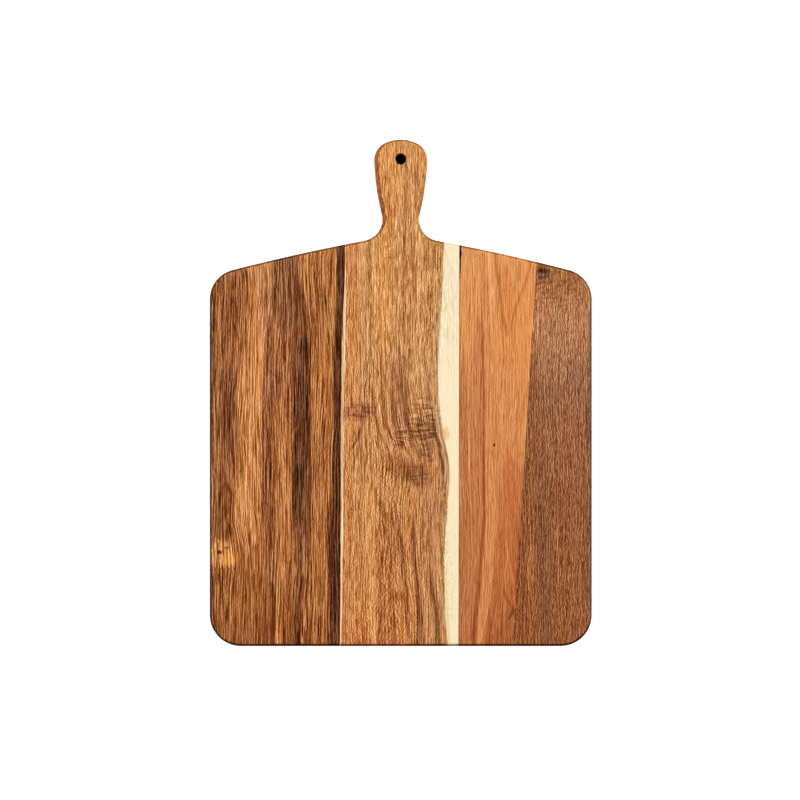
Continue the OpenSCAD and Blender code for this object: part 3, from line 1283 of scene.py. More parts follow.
LEFT_STREAKS = (
    # Painted shade along the left rounded edge
    Streak("edge shade", "#98603c", 1, 0.6,
           ((-214, -163.8, 2.6), (-6, -164.2, 3), (106, -163.8, 2.6))),
    Streak("left dark thread", "#230100", 0.8, 0.8,
           ((11, -162.1, 0), (37, -161.6, 1), (72, -160.8, 1), (89, -160.8, 0))),
    Streak("outer red heart", "#c18052", 2.1, 0.9,
           ((-114, -156, 0), (-92, -156.9, 7.8), (-49, -156, 7.8), (2, -155.2, 8.6),
            (41, -151.7, 10.4), (80, -145.7, 15.6), (113, -145.7, 17.3))),
    Streak("slanted dark thread", "#a76d43", 0.8, 0.9,
           ((-118, -154.3, 0), (-92, -153.4, 2.1), (-48, -152.6, 2.6), (-8, -152.6, 2.6),
            (36, -152.1, 1.7), (70, -149.1, 1.4), (89, -148.2, 0))),
    Streak("second dark thread", "#b07d59", 0.8, 0.9,
           ((-67, -148.2, 0), (-43, -147.8, 1.9), (-15, -147.4, 1.7), (14, -146.9, 1.6),
            (33, -146.5, 0))),
    Streak("upper gold band", "#e7a366", 1.6, 1.0,
           ((-144, -132.7, 0), (-118, -131.8, 10.4), (-84, -131, 11.2), (-43, -129.2, 9.5),
            (1, -130.1, 10.8), (36, -126.6, 9.5), (63, -128.4, 6), (89, -127.5, 3.5),
            (116, -128.4, 2.2), (127, -128.4, 0))),
    Streak("gold core", "#efab6c", 1.6, 0.9,
           ((-110, -132.7, 0), (-92, -132.7, 3.5), (-43, -130.1, 3.5), (-32, -130.1, 3.5),
            (-6, -124.1, 3.5), (20, -122.3, 3.5), (46, -123.2, 3), (89, -124.1, 0))),
    Streak("pink tan band", "#ebad7b", 1.6, 0.9,
           ((41, -118.9, 0), (54, -118.9, 2.6), (80, -119.7, 4.3), (102, -119.7, 5.2),
            (120, -118.9, 3.5))),
    Streak("long dark thread", "#d0986e", 0.8, 1.0,
           ((-67, -114.6, 0), (-41, -115.4, 1.6), (-15, -114.6, 1.3), (9, -114.6, 2.2),
            (37, -114.6, 2.1), (52, -113.4, 1.3), (66, -113.4, 1.3), (98, -114.6, 1),
            (113, -116.3, 0))),
    Streak("upper dark heart", "#b27a53", 3.1, 0.9,
           ((46, -101.6, 0), (63, -100.7, 8.6), (89, -99.9, 11.2), (110, -99.9, 12.1),
            (127, -97.3, 8.6))),
    Streak("middle red wood", "#c78657", 2.1, 0.8,
           ((-58, -101.6, 0), (-41, -101.6, 6.9), (-6, -104.2, 9.5), (37, -103.3, 7.8),
            (59, -103.3, 0))),
    Streak("main dark heart", "#a26840", 1.8, 1.0,
           ((-216, -93, 3), (-179, -87.8, 3), (-157, -86.5, 3.5), (-131, -86, 5.2),
            (-110, -86, 7.8), (-84, -85.2, 8.2), (-45, -85.2, 8.2), (-15, -85.6, 8.2),
            (9, -86, 8.6), (37, -86, 8.2), (66, -86, 6), (89, -88.6, 4.3), (113, -90.4, 0))),
    Streak("main heart core", "#7a4c30", 1.6, 0.8,
           ((-118, -89.5, 0), (-97, -88.6, 3.5), (-75, -86.9, 5.2), (-23, -85.2, 5.2),
            (7, -85.2, 4.3), (28, -84.3, 2.2), (40, -83.5, 2.6), (58, -83.5, 0))),
    Streak("inner gold band", "#cf8c53", 1.6, 1.0,
           ((-216, -73.1, 6), (-179, -71.4, 6), (-144, -68.8, 7.8), (-92, -67.9, 8.2),
            (-49, -67.9, 9.5), (-6, -67.9, 9.1), (41, -66.2, 9.5), (89, -65.3, 9.5),
            (127, -66.2, 8.6))),
    Streak("gold band glint", "#d28c50", 1, 0.7,
           ((-49, -70.5, 0), (-6, -71.4, 1.2), (28, -68.8, 1.4), (63, -69.6, 1.4),
            (80, -69.6, 0))),
    Streak("joint dark strip", "#7f4d30", 0.8, 1.0,
           ((-216, -56.7, 4.8), (-179, -56.8, 4.8), (-131, -57.2, 5), (-92, -55.2, 3.7),
            (-41, -55, 3.4), (-6, -54.6, 3.3), (41, -53.9, 3.3), (89, -52.2, 3.4),
            (124, -51.4, 3.9))),
    Streak("pale thread at the joint", "#f6d3a2", 0.6, 1.0,
           ((-200, -52.2, 0), (-144, -51.6, 0.4), (-96, -51, 0.7), (-48, -50.7, 1), (0, -50.2, 1.2),
            (48, -49.5, 1.1), (80, -48.7, 0.5), (100, -48.1, 0)), sawn=True),
    Streak("middle brown streak", "#b47348", 1.6, 1.0,
           ((-216, -111.1, 3), (-179, -110.7, 2.6), (-162, -111.1, 3), (-127, -112.8, 3.5),
            (-92, -114.6, 4.8), (-41, -115.4, 4.3), (-6, -116.3, 2.6), (11, -117.1, 0))),
    Streak("streak core", "#d49560", 1, 0.9,
           ((-216, -110.2, 2.1), (-179, -110.2, 1.9), (-157, -111.1, 1.7), (-131, -111.1, 1.4),
            (-110, -111.1, 0))),
    Streak("middle gold band", "#d59057", 1.6, 1.0,
           ((-162, -101.6, 0), (-131, -100.7, 5.2), (-97, -101.6, 7.3), (-75, -101.6, 7.8),
            (-41, -102.5, 7.3), (-19, -103.3, 4.3), (-2, -104.2, 0))),
    Streak("foot gold thread", "#bc6e31", 0.8, 0.9,
           ((-216, -105.1, 2.4), (-183, -105.9, 1.9), (-166, -106.8, 0))),
    Streak("foot slanted thread", "#d49867", 1, 0.9,
           ((-216, -93, 2.2), (-197, -89.5, 2.1), (-170, -84.3, 1.6), (-157, -83.5, 0))),
    Streak("knot hollow shade", "#9e6034", 2.6, 0.8,
           ((-131, -152.6, 0), (-124, -152.6, 6), (-110, -152.6, 7.8), (-88, -151.7, 6.9),
            (-74, -150.8, 0))),
    Streak("knot dark line", "#da9c68", 0.8, 0.8,
           ((-157, -126.6, 0), (-147, -127.5, 1.2), (-127, -130.1, 1.2), (-118, -131, 0))),
    Streak("foot tan wood", "#d69458", 3.1, 0.5,
           ((-216, -138.7, 17.3), (-179, -138.7, 15.6), (-149, -138.7, 0))),
)

LEFT_THREADS = (
    Thread(1.0, ((-216, -110.5, 2), (-190, -110.5, 1.7), (-165, -111, 1.2))),
    Thread(0.9, ((-216, -90.5, 2.8), (-200, -88.5, 2.4), (-180, -86.5, 1.8), (-160, -84.5, 1.2))),
    Thread(-0.45, ((-216, -106, 2), (-190, -106.5, 1.8), (-170, -107, 1.2))),
    Thread(-0.4, ((-216, -84.5, 1.5), (-200, -82.5, 1.5), (-180, -80.5, 1.2))),
    Thread(0.45, ((20, -139.8, 0.6), (45, -137, 0.7), (62, -132.5, 0.8), (85, -130, 0.6),
                  (105, -127.5, 0.4))),
    Thread(0.7, ((-50, -147.5, 0.9), (-15, -148, 1), (0, -147, 0.6))),
    Thread(0.6, ((12, -147.3, 0.6), (28, -146.5, 0.7))),
    Thread(0.6, ((-40, -153, 0.6), (-15, -152.4, 0.6), (8, -152, 0.7))),
    Thread(0.5, ((-35, -142, 0.5), (-12, -142, 0.6))),
    Thread(-0.7, ((-14, -154.5, 0.5), (-4, -154.5, 0.5))),
    # Painted shade along the left rounded edge
    Thread(0.5, ((-58, -162.6, 0.5), (-25, -162.8, 0.6))),
    Thread(0.3, ((60, -153.5, 0.5), (95, -155, 0.5))),
    Thread(1.0, ((50, -113, 0.7), (64, -113, 0.8))),
    Thread(0.7, ((25, -112.3, 0.7), (38, -112.6, 0.9))),
    Thread(0.4, ((-42, -113, 0.7), (-10, -113.5, 0.6))),
    Thread(0.35, ((-5, -119.5, 0.5), (30, -119, 0.6))),
    Thread(0.4, ((60, -117, 0.5), (88, -116.5, 0.6))),
    Thread(0.6, ((70, -109.5, 0.6), (88, -109.5, 0.6))),
    Thread(0.7, ((52, -99.6, 0.7), (72, -99, 0.7))),
    Thread(0.5, ((55, -95, 0.9), (80, -96.5, 0.8), (108, -95.5, 0.6))),
    Thread(0.35, ((75, -90, 0.8), (112, -89.5, 0.7))),
    Thread(0.6, ((18, -81, 0.9), (45, -82, 1.2), (68, -82.8, 0.8))),
    Thread(0.5, ((-55, -80, 0.8), (-20, -80, 0.9), (14, -79.8, 0.8))),
    Thread(0.35, ((-120, -78.6, 0.7), (-60, -78.4, 0.7))),
    Thread(0.5, ((-52, -91, 0.8), (-20, -91.4, 0.8), (10, -91.5, 0.6))),
    Thread(0.5, ((-118, -92.5, 0.8), (-90, -93, 0.9), (-62, -92.5, 0.8))),
    Thread(0.5, ((-112, -86.5, 0.9), (-92, -87, 1))),
    Thread(0.5, ((-30, -100, 0.6), (0, -100, 0.6))),
    Thread(0.35, ((-52, -97.5, 0.7), (-20, -98, 0.7))),
    Thread(-0.35, ((-52, -95, 0.8), (-22, -94.8, 0.6))),
    Thread(-0.3, ((-110, -101, 1), (-70, -100.5, 1.1), (-30, -104.5, 0.8))),
    Thread(0.35, ((25, -67.5, 0.5), (65, -67, 0.5))),
    Thread(0.35, ((0, -72, 0.5), (50, -73, 0.5), (95, -72, 0.4))),
    Thread(0.35, ((-100, -65, 0.5), (-60, -65.5, 0.6))),
    Thread(-0.3, ((-40, -68.5, 0.7), (20, -68.3, 0.8), (70, -64, 0.6))),
    Thread(0.6, ((-150, -128, 0.6), (-120, -129.5, 0.7))),
    Thread(0.6, ((-165, -113, 0.7), (-130, -112.5, 0.8))),
    Thread(0.45, ((-178, -133.6, 0.7), (-156, -134.5, 0.6))),
    Thread(0.6, ((-216, -110.5, 1.2), (-190, -110, 1.5), (-168, -109.6, 0.9))),
    Thread(-0.4, ((-216, -106, 1.2), (-190, -104.6, 1.4), (-170, -104, 1), (-152, -102.5, 0.6))),
    Thread(0.55, ((-216, -93.5, 1.2), (-197, -91.2, 1.2), (-178, -87.4, 1), (-160, -85.8, 0.6))),
    Thread(-0.4, ((-216, -87, 1.4), (-203, -84, 1.2), (-184, -82.2, 0.8))),
    Thread(-0.5, ((-168, -83.5, 0.5), (-145, -83.5, 0.7), (-126, -83.8, 0.5))),
    Thread(0.6, ((-165, -80, 0.8), (-140, -79.8, 0.7), (-122, -80.4, 0.6))),
    Thread(0.5, ((-160, -62, 0.6), (-120, -62.5, 0.6))),
    Thread(0.35, ((-216, -70, 0.6), (-180, -71, 0.7), (-150, -73, 0.6))),
    Thread(0.3, ((-216, -142, 0.6), (-175, -141, 0.6))),
    Thread(0.35, ((-216, -126, 0.6), (-185, -125.6, 0.7), (-160, -125, 0.5))),
    Thread(0.4, ((-216, -118, 0.6), (-180, -118.6, 0.7))),
    Thread(-0.3, ((-212, -147, 0.8), (-178, -148, 0.8))),
    Thread(0.4, ((-120, -120, 0.6), (-92, -118.6, 0.7), (-60, -118.8, 0.5))),
    Thread(0.7, ((-216, -52.9, 0.8), (-165, -53, 0.8), (-130, -52.6, 0.7))),
    Thread(0.5, ((-100, -52.4, 0.5), (-24, -52.2, 0.5), (30, -51.7, 0.5), (72, -50.2, 0.5),
                 (118, -48.4, 0.5))),
)

LEFT_BLOTCHES = (
    Blotch("golden knot", "#efae6b", (-153.4, -139.2), (11.2, 12.1), 1.0),
    Blotch("knot heart", "#fbb767", (-149.1, -143.5), (5.5, 6), 0.8),
    Blotch("knot speck", "#833e11", (-155.5, -137.5), (2.4, 1.9), 0.9),
    Blotch("second knot speck", "#7a4822", (-150.6, -133.6), (1.6, 1.4), 0.8),
    Blotch("shade below knot", "#ae6e3d", (-154.3, -160.8), (10.4, 6.9), 0.7),
    Blotch("shade beside knot", "#c0804b", (-149.1, -101.2), (6.9, 19), 0.5),
)

LEFT_SWIRLS = (
    Swirl("golden knot", (-153.4, -139.2), (20.0, 26.0), 0.2),
)

LEFT_FINISH = AcaciaFinish(
    "red brown acacia", LEFT_GRADE, LEFT_LAYERS, LEFT_STREAKS, LEFT_THREADS, seed=3.0, lean=0.32,
    blotches=LEFT_BLOTCHES, swirls=LEFT_SWIRLS)

# The centre stave: gold wood round a lost branch, with cream sapwood along the middle joint
CENTRE_GRADE = ((-218, "#e69d5e"), (-90, "#e1a369"), (20, "#e7ae77"), (110, "#f0b87d"),
                (150, "#f6c187"), (218, "#f1b271"))

CENTRE_LAYERS = (
    Layer(0.7, 20.0, 0.95, 0.2, paired=True),
    Layer(0.6, 2.0, 1.3, 0.4, paired=True),
    Layer(0.75, 60.0, 1.3, 0.2, paired=True, beads=12.0),
    Layer(1.6, 60.0, 0.25, 0.09, 0.34, 0.66, beads=14.0),
    Layer(4.5, 90.0, 0.1, 0.05),
    Layer(0.8, 10.0, 1.25, 0.0, 0.59, 0.69),
)

CENTRE_STREAKS = (
    Streak("sapwood", "#fbe8c4", 0.6, 1.0,
           ((-216, 45.9, 6.1), (-187, 44.7, 7.3), (-151, 44.7, 7.3), (-115, 45.3, 6.9),
            (-86, 46.6, 5.7), (-65, 46.9, 5.4), (-41, 45.1, 7.2), (-17, 42.8, 9.5), (9, 42, 10.6),
            (46, 42.5, 9.9), (87, 43.7, 8.8), (130, 44.8, 7.5))),
    Streak("sapwood border", "#e1bd8d", 0.6, 0.9,
           ((-216, 39.4, 1), (-187, 37, 1), (-151, 36.8, 1), (-115, 38.1, 1), (-86, 40.4, 0.8),
            (-65, 41.1, 0.7), (-41, 37.6, 0.7), (-17, 33.1, 1.2), (9, 31, 1), (46, 32.2, 1.1),
            (87, 34.6, 1.1), (130, 37, 0.8))),
    Streak("sapwood thread at left joint", "#ffe6bd", 0.6, 1.0,
           ((-216, -52, 0.4), (-192, -51.7, 0.6), (-168, -51.3, 1), (-144, -51, 1.2),
            (-96, -50.7, 1.1), (-48, -50, 1.3), (0, -49.6, 1.2), (48, -48.9, 1.1),
            (80, -48.2, 0.9), (105, -47.6, 0.4), (119, -47.2, 0)), sawn=True),
    Streak("orange band", "#eaa669", 1.6, 1.0,
           ((-216, -48, 3), (-179, -47.6, 3), (-144, -47.2, 3), (-92, -46.7, 3), (-67, -46.7, 3),
            (-32, -44.6, 5.2), (2, -43.7, 5.6), (41, -42.4, 5.2), (80, -42, 5.2),
            (127, -42.4, 5.2))),
    Streak("handle gold", "#f9b779", 2.6, 0.8,
           ((115, -12.6, 0), (167, -10, 7.8), (218, -10.9, 7.8))),
    Streak("dark shoulder streak", "#dda268", 1, 1.0,
           ((46, -26.4, 0), (63, -26.4, 1.4), (89, -27.3, 2.2), (115, -27.3, 2.6),
            (131, -27.3, 1.7))),
    Streak("pale specked strip", "#f3bd76", 1, 0.7,
           ((11, -23.8, 0), (80, -23.8, 1.9), (130, -23.8, 1.7))),
    Streak("gold field", "#f5b46f", 2.6, 0.6,
           ((11, -17.8, 0), (46, -13.5, 6.9), (80, -13.5, 8.6), (127, -13.5, 7.8))),
    Streak("dotted thread one", "#e6a86b", 0.6, 0.8,
           ((72, -4, 0), (89, -4, 1), (132, -4, 0.9), (145, -4, 0))),
    Streak("dotted thread two", "#d4925a", 0.7, 0.9,
           ((41, 2.9, 0), (63, 2.9, 1.6), (89, 2.9, 1.6), (132, 2.9, 1), (167, 4.7, 0))),
    Streak("pink band", "#ebab72", 1.6, 0.7,
           ((20, 6.4, 0), (46, 6.4, 2.6), (80, 7.3, 3.9), (124, 7.3, 3.9), (141, 5.5, 3.5),
            (180, 4.7, 3.5), (193, 5.5, 0))),
    Streak("dark grip threads", "#eeb37f", 1.3, 0.9,
           ((59, 10.7, 0), (89, 11.6, 1.7), (116, 10.7, 1.4), (145, 10.7, 1.4), (158, 11.6, 1.7),
            (171, 13.3, 3), (188, 13.3, 2.6), (197, 12.4, 0))),
    Streak("bright gold band", "#ebb57c", 1.6, 0.9,
           ((2, 13.3, 0), (16, 14.2, 1.7), (41, 15.9, 3.9), (80, 16.8, 4.8), (118, 16.8, 4.3),
            (128, 15.9, 0))),
    Streak("brown shoulder wood", "#e1a96c", 2.1, 0.8,
           ((11, 22.8, 0), (37, 22.8, 2.6), (72, 25.4, 3.5), (89, 28, 6), (110, 28, 7.8),
            (130, 28.9, 7.8))),
    Streak("gold strip at sapwood", "#e2af7a", 1, 0.9,
           ((11, 27.1, 0), (33, 28.4, 2.9), (54, 28.9, 2.9), (89, 28.9, 0))),
    Streak("brown middle wood", "#c98d5d", 2.6, 0.7,
           ((-41, 1.2, 0), (-23, -0.5, 6.9), (-6, -0.5, 8.6), (24, -0.5, 6.9), (37, -0.5, 0))),
    Streak("sweep one", "#d69157", 1, 0.8,
           ((-41, -17.8, 0), (-29, -20, 1.7), (-16, -23, 1.7), (-2, -24, 1.4), (16, -24.7, 0))),
    Streak("sweep two", "#d99762", 1, 0.9,
           ((-49, -3.1, 0), (-43, -6.1, 1.4), (-32, -10.9, 2.1), (-15, -14.8, 2.1),
            (7, -16.1, 1.7), (28, -16.9, 1.6), (41, -17.8, 0))),
    Streak("sweep three", "#cd9569", 1.3, 1.0,
           ((-88, 17.6, 0), (-78, 18.5, 1.4), (-61, 17.6, 1.7), (-50, 14, 1.9), (-40, 9.8, 2.4),
            (-29, 6.8, 2.4), (-13, 3.2, 2.1), (-4, 1.2, 0))),
    Streak("sweep four", "#d7a67d", 1, 0.9,
           ((-110, 34.5, 0), (-92, 35.3, 0.9), (-72, 36.1, 1.4), (-54, 34.7, 1.7),
            (-36, 31.1, 1.9), (-20, 25.7, 1.9), (-6, 24.2, 1.6), (16, 23.7, 1.2), (33, 23.2, 0))),
    Streak("grey strip", "#e1bb8f", 1, 0.8,
           ((-84, 39.2, 0), (-71, 39.2, 0.9), (-50, 37.5, 1.7), (-29, 32.3, 1.9), (-8, 27.6, 1.7),
            (-2, 26.3, 0))),
    Streak("dark curl wood", "#c69166", 2.6, 0.9,
           ((-63, 23.7, 0), (-56, 23.7, 3.5), (-46, 22.8, 6), (-34, 21.9, 8.6), (-22, 21.1, 7.8),
            (-13, 20.2, 0))),
    Streak("eye shade", "#d69d6d", 2.1, 1.0,
           ((-49, 1.2, 0), (-44, 0.3, 3.5), (-36, -0.5, 5.2), (-23, -1.4, 4.3), (-13, -3.1, 0))),
    Streak("dark wedge line", "#be7642", 0.7, 0.8,
           ((-54, -45.4, 0), (-49, -43.4, 0.9), (-44, -39.7, 1.2), (-35, -36.2, 1.2),
            (-28, -34.2, 0))),
    Streak("brown foot wood", "#d5925b", 3.1, 0.8,
           ((-216, -10.9, 10.4), (-179, -10.9, 9.5), (-144, -12.6, 9.5), (-118, -12.6, 7.8),
            (-97, -12.6, 0))),
    Streak("brown foot wood right", "#d79f6b", 2.6, 0.7,
           ((-216, 27.1, 10.4), (-179, 27.1, 10.4), (-144, 25.4, 10.4), (-92, 25.4, 10.4),
            (-75, 25.4, 0))),
    Streak("gold foot strip", "#f1b170", 1.6, 0.9,
           ((-216, -23.8, 3.5), (-179, -24.7, 3.5), (-144, -26.4, 3.9), (-92, -27.3, 3.9),
            (-67, -26.4, 0))),
    Streak("foot streak one", "#cd8f5d", 1.3, 1.0,
           ((-216, 6.8, 1.7), (-188, 5.9, 1.6), (-155, 2.9, 2.1), (-141, 1.2, 2.6),
            (-122, -1.4, 2.4), (-103, -4, 1.2), (-92, -4.8, 0))),
    Streak("gold wedge", "#e2a062", 1.6, 1.0,
           ((-216, 10.7, 2.6), (-188, 10.7, 2.2), (-155, 8.1, 2.2), (-141, 7.3, 2.8),
            (-118, 7.3, 3.5), (-88, 7.7, 3.5), (-79, 7.3, 0))),
    Streak("foot streak two", "#bf8254", 1.3, 1.0,
           ((-216, 15, 2.2), (-197, 16.2, 2.6), (-174, 15, 2.6), (-155, 13.3, 2.2),
            (-136, 10.7, 2.2), (-118, 11.1, 1.7), (-106, 11.6, 0))),
    Streak("foot streak three", "#bc8355", 1.6, 0.9,
           ((-216, 33.1, 3.1), (-197, 31.2, 3.1), (-178, 29.3, 2.9), (-162, 27.1, 2.2),
            (-150, 25.4, 0))),
    Streak("gold strip low", "#e5b175", 1, 0.8,
           ((-183, 34.9, 0), (-162, 33.2, 2.1), (-131, 31.9, 2.2), (-114, 31.4, 0))),
    Streak("brown thread low", "#da9764", 1, 0.8,
           ((-216, -16.1, 1), (-188, -16.9, 1.4), (-153, -17.8, 1.4), (-131, -17.8, 0))),
    # Painted shade in the drying crack, together with the dark oil that gathers in it
    Streak("crack shade", "#5a2c10", 0.5, 0.9,
           ((-9, -31, 0), (-3, -31.3, 0.5), (0.5, -31.4, 0.4), (5, -30.9, 0.4), (9, -30.2, 0.5),
            (13, -29.3, 0)), sawn=True),
    Streak("pale line beyond border", "#ffd98e", 0.6, 0.7,
           ((-216, 41.8, 0.9), (-196, 40.6, 1), (-170, 39.5, 0.9), (-144, 38.8, 0))),
)

CENTRE_THREADS = (
    Thread(0.7, ((-62, 20.5, 0.6), (-50, 17, 0.9), (-38, 11.5, 1), (-20, 5.5, 0.9), (0, 3.5, 0.6))),
    Thread(0.7, ((-60, 10, 0.6), (-48, 4, 0.9), (-38, -1.5, 0.9), (-20, -6.5, 0.8), (0, -8, 0.6))),
    Thread(0.6, ((-45, -4, 0.6), (-35, -11, 0.9), (-22, -14.5, 0.8), (-5, -16, 0.6))),
    Thread(0.8, ((-70, 37, 0.7), (-52, 34, 1), (-38, 30.5, 1.1), (-22, 27.5, 0.9), (-5, 26.5, 0.6))),
    Thread(0.45, ((-42, -17, 0.5), (-33, -18.5, 0.8), (-20, -22, 0.9), (-5, -24, 0.8),
                  (12, -27.5, 0.5))),
    Thread(0.45, ((-43, -5, 0.6), (-38, -8, 0.8), (-28, -11.5, 0.9), (-15, -14, 0.9),
                  (5, -15.8, 0.8), (30, -17, 0.5))),
    Thread(0.55, ((-42, 2, 0.8), (-33, -1, 1.1), (-22, -4, 1.2), (-10, -6, 0.9), (20, -7, 0.5))),
    Thread(0.5, ((-65, 18, 0.6), (-52, 14.5, 0.8), (-40, 10, 1), (-30, 7, 1), (-20, 4.2, 1),
                 (-5, 2, 0.8), (20, 1, 0.5))),
    Thread(0.5, ((-80, 36.5, 0.8), (-65, 36, 0.9), (-52, 34, 0.9), (-38, 31, 0.9),
                 (-25, 28.5, 0.9), (-12, 25.6, 0.8), (0, 24, 0.7), (25, 22.5, 0.5))),
    Thread(0.4, ((-85, 41.6, 0.5), (-70, 42, 0.7), (-58, 40, 0.7), (-42, 37, 0.6),
                 (-27, 34, 0.7), (-12, 31.6, 0.7), (10, 30.6, 0.6), (30, 31.5, 0.5))),
    Thread(-0.35, ((-36, -12, 0.6), (-28, -15.2, 0.7), (-15, -18, 0.6), (0, -20.3, 0.5))),
    Thread(-0.4, ((-40, -4.2, 0.6), (-30, -7, 0.8), (-20, -9.5, 0.7), (-5, -10.8, 0.5))),
    Thread(-0.4, ((-42, 5.5, 0.5), (-34, 2.6, 0.7), (-24, 0.2, 0.6), (-14, -2, 0.5))),
    Thread(-0.35, ((-45, -22, 0.7), (-35, -22.5, 0.8), (-25, -24, 0.6))),
    Thread(-0.3, ((-60, 31, 0.6), (-45, 27.5, 0.6), (-32, 24.5, 0.5))),
    Thread(0.5, ((-47, -41, 0.6), (-42, -38, 0.8), (-36, -36, 0.8), (-28, -36, 0.5))),
    Thread(0.5, ((45, 23.5, 0.6), (70, 25.5, 0.7), (98, 26, 0.6))),
    Thread(0.3, ((105, 22.5, 0.6), (128, 23, 0.6))),
    Thread(0.3, ((60, 31.5, 0.5), (95, 33, 0.6), (125, 34.5, 0.5))),
    Thread(0.45, ((48, -26, 0.5), (75, -25.6, 0.5), (100, -25.6, 0.6), (128, -26, 0.6))),
    Thread(-0.3, ((50, -23, 0.6), (90, -22.4, 0.8), (124, -22.6, 0.7))),
    Thread(0.3, ((15, -30.5, 0.6), (50, -30, 0.7), (80, -32, 0.6), (110, -33.5, 0.5))),
    Thread(0.25, ((-5, -38.5, 0.6), (40, -38, 0.7), (90, -38.5, 0.6), (118, -38, 0.5))),
    Thread(0.6, ((95, 10.8, 0.5), (112, 11.2, 0.6), (132, 11, 0.5))),
    Thread(0.3, ((30, 7.5, 0.6), (62, 8, 0.8), (90, 9, 0.6))),
    Thread(-0.3, ((55, 14, 0.8), (90, 15, 1), (122, 16.5, 0.8))),
    Thread(-0.25, ((50, 29.5, 0.7), (85, 30, 0.7), (108, 31, 0.5))),
    Thread(0.3, ((-120, -43.5, 0.6), (-80, -45, 0.7), (-60, -44, 0.5))),
    Thread(0.3, ((-105, -41.8, 0.7), (-85, -42.5, 0.6), (-60, -40, 0.5), (-50, -38, 0.4))),
    Thread(0.25, ((-100, -32.5, 0.5), (-75, -32, 0.6), (-55, -30, 0.5))),
    Thread(-0.3, ((-200, -41, 0.6), (-120, -40.5, 0.7), (-60, -38.5, 0.5))),
    Thread(0.3, ((-216, -31.5, 0.6), (-190, -32, 0.7), (-160, -33, 0.5))),
    Thread(0.35, ((-216, -17, 0.7), (-170, -17.5, 0.9), (-130, -19, 0.7))),
    Thread(0.45, ((-160, -10, 0.4), (-125, -10, 0.5), (-98, -10.5, 0.6))),
    Thread(0.3, ((-216, -6, 0.6), (-180, -6.4, 0.7), (-140, -7, 0.5))),
    Thread(0.6, ((-110, -4.2, 0.6), (-99, -4.5, 0.9))),
    Thread(0.6, ((-202, 5.2, 0.8), (-180, 4.8, 0.9), (-160, 4, 0.8), (-145, 2.5, 1),
                 (-130, 1, 1), (-116, -1.5, 0.6))),
    Thread(0.5, ((-200, 15.5, 1.2), (-180, 15, 1.3), (-160, 13.5, 1.2), (-145, 12, 1.1),
                 (-125, 11.5, 1), (-103, 11, 0.6))),
    Thread(0.35, ((-216, 20, 0.6), (-195, 18.5, 0.9), (-175, 17, 0.7))),
    Thread(0.8, ((-146, 25, 0.4), (-137, 25, 0.5))),
    Thread(0.5, ((-216, 33, 1.3), (-200, 31.5, 1.4), (-180, 29, 1.2), (-165, 26.5, 1),
                 (-152, 25.2, 0.7))),
    Thread(0.45, ((-216, 38.8, 0.5), (-190, 38.2, 0.6), (-165, 36.8, 0.6), (-140, 36.2, 0.6),
                  (-120, 38, 0.5), (-98, 39.8, 0.5))),
    Thread(-0.35, ((-216, 9.5, 0.7), (-190, 9.5, 0.8), (-165, 8.5, 0.8), (-130, 6, 0.9),
                   (-100, 5.5, 0.7))),
    Thread(-0.3, ((-216, 36, 0.7), (-190, 34.5, 0.8), (-165, 33, 0.7))),
    Thread(-0.25, ((-216, 22.5, 0.9), (-185, 21.5, 1), (-160, 20, 0.8))),
    Thread(0.3, ((166, 3.5, 1.2), (194, 5, 1.2))),
    Thread(0.5, ((158, 12.5, 0.8), (175, 13.5, 0.9), (190, 13, 0.6))),
    Thread(0.3, ((150, -4, 0.6), (200, -3, 0.6))),
    Thread(0.25, ((136, -9, 0.6), (185, -10, 0.6))),
)

CENTRE_BLOTCHES = (
    Blotch("reddish patch", "#bb7f57", (-40, -16.5), (12, 8), 0.7),
    Blotch("reddish patch beside it", "#ba7b54", (-31, -17.5), (9, 10), 0.6),
    Blotch("smudge upper left", "#bd743f", (-9, -60), (11, 8), 0.6),
    Blotch("smudge middle", "#b06e3f", (3, -66.5), (15, 10), 0.7),
    Blotch("smudge lower right", "#a16942", (16, -73), (13, 9), 0.7),
    Blotch("dark curl core", "#a8724b", (20, -32), (11, 12), 0.6),
    Blotch("dark curl tail", "#c98f66", (23, -52), (7, 10), 0.6),
    Blotch("sap stain high", "#fbe8c9", (39.2, 41.4), (3.5, 5.2), 0.3),
    Blotch("orange stain", "#febc3c", (39.2, -35.5), (3.5, 6.9), 0.5),
)

CENTRE_RIPPLES = (
    Ripple("strong ripple", (1.5, -39), (9.0, 10.0), 2.1, (9.0, 1.9), 8.0),
    Ripple("ripple beside it", (20.3, -26), (15.0, 25.0), 1.6, (9.0, 2.1)),
    Ripple("curl ripple", (23, -55), (8.0, 9.0), 1.4, (7.0, 2.0)),
    Ripple("sapwood specks low", (41.5, -165), (6.0, 50.0), 0.4, (1.2, 2.6)),
    Ripple("border specks", (37.5, -120), (4.0, 60.0), 0.8, (1.2, 2.6)),
    Ripple("ripple high", (-10.0, 120.5), (7.0, 10.0), 0.5),
    Ripple("dashes on the handle", (0, 170), (34.0, 75.0), 1.5, (0.7, 9.0)),
    Ripple("dashes above the middle", (0, 75), (52.0, 75.0), 1.2, (0.7, 9.0)),
    Ripple("reddish ripple", (-37.0, -17.0), (13.0, 9.0), 1.0, (9.0, 1.9)),
    Ripple("smudge ripple", (14.7, -70.4), (11.0, 10.0), 0.7),
)

CENTRE_FLOWS = (
    Flow("sweep round the lost branch",
         ((-216, 12), (-150, 11), (-100, 10.5), (-80, 11.5), (-65, 11.5),
          (-52, 10.5), (-40, 7.5), (-30, 5), (-20, 3), (-10, 1), (10, 0), (218, 0)),
         ((-50, 0), (-35, 0.15), (-20, 0.42), (-5, 0.8), (5, 0.97), (15, 1), (30, 0.85),
          (50, 0.5))),
)

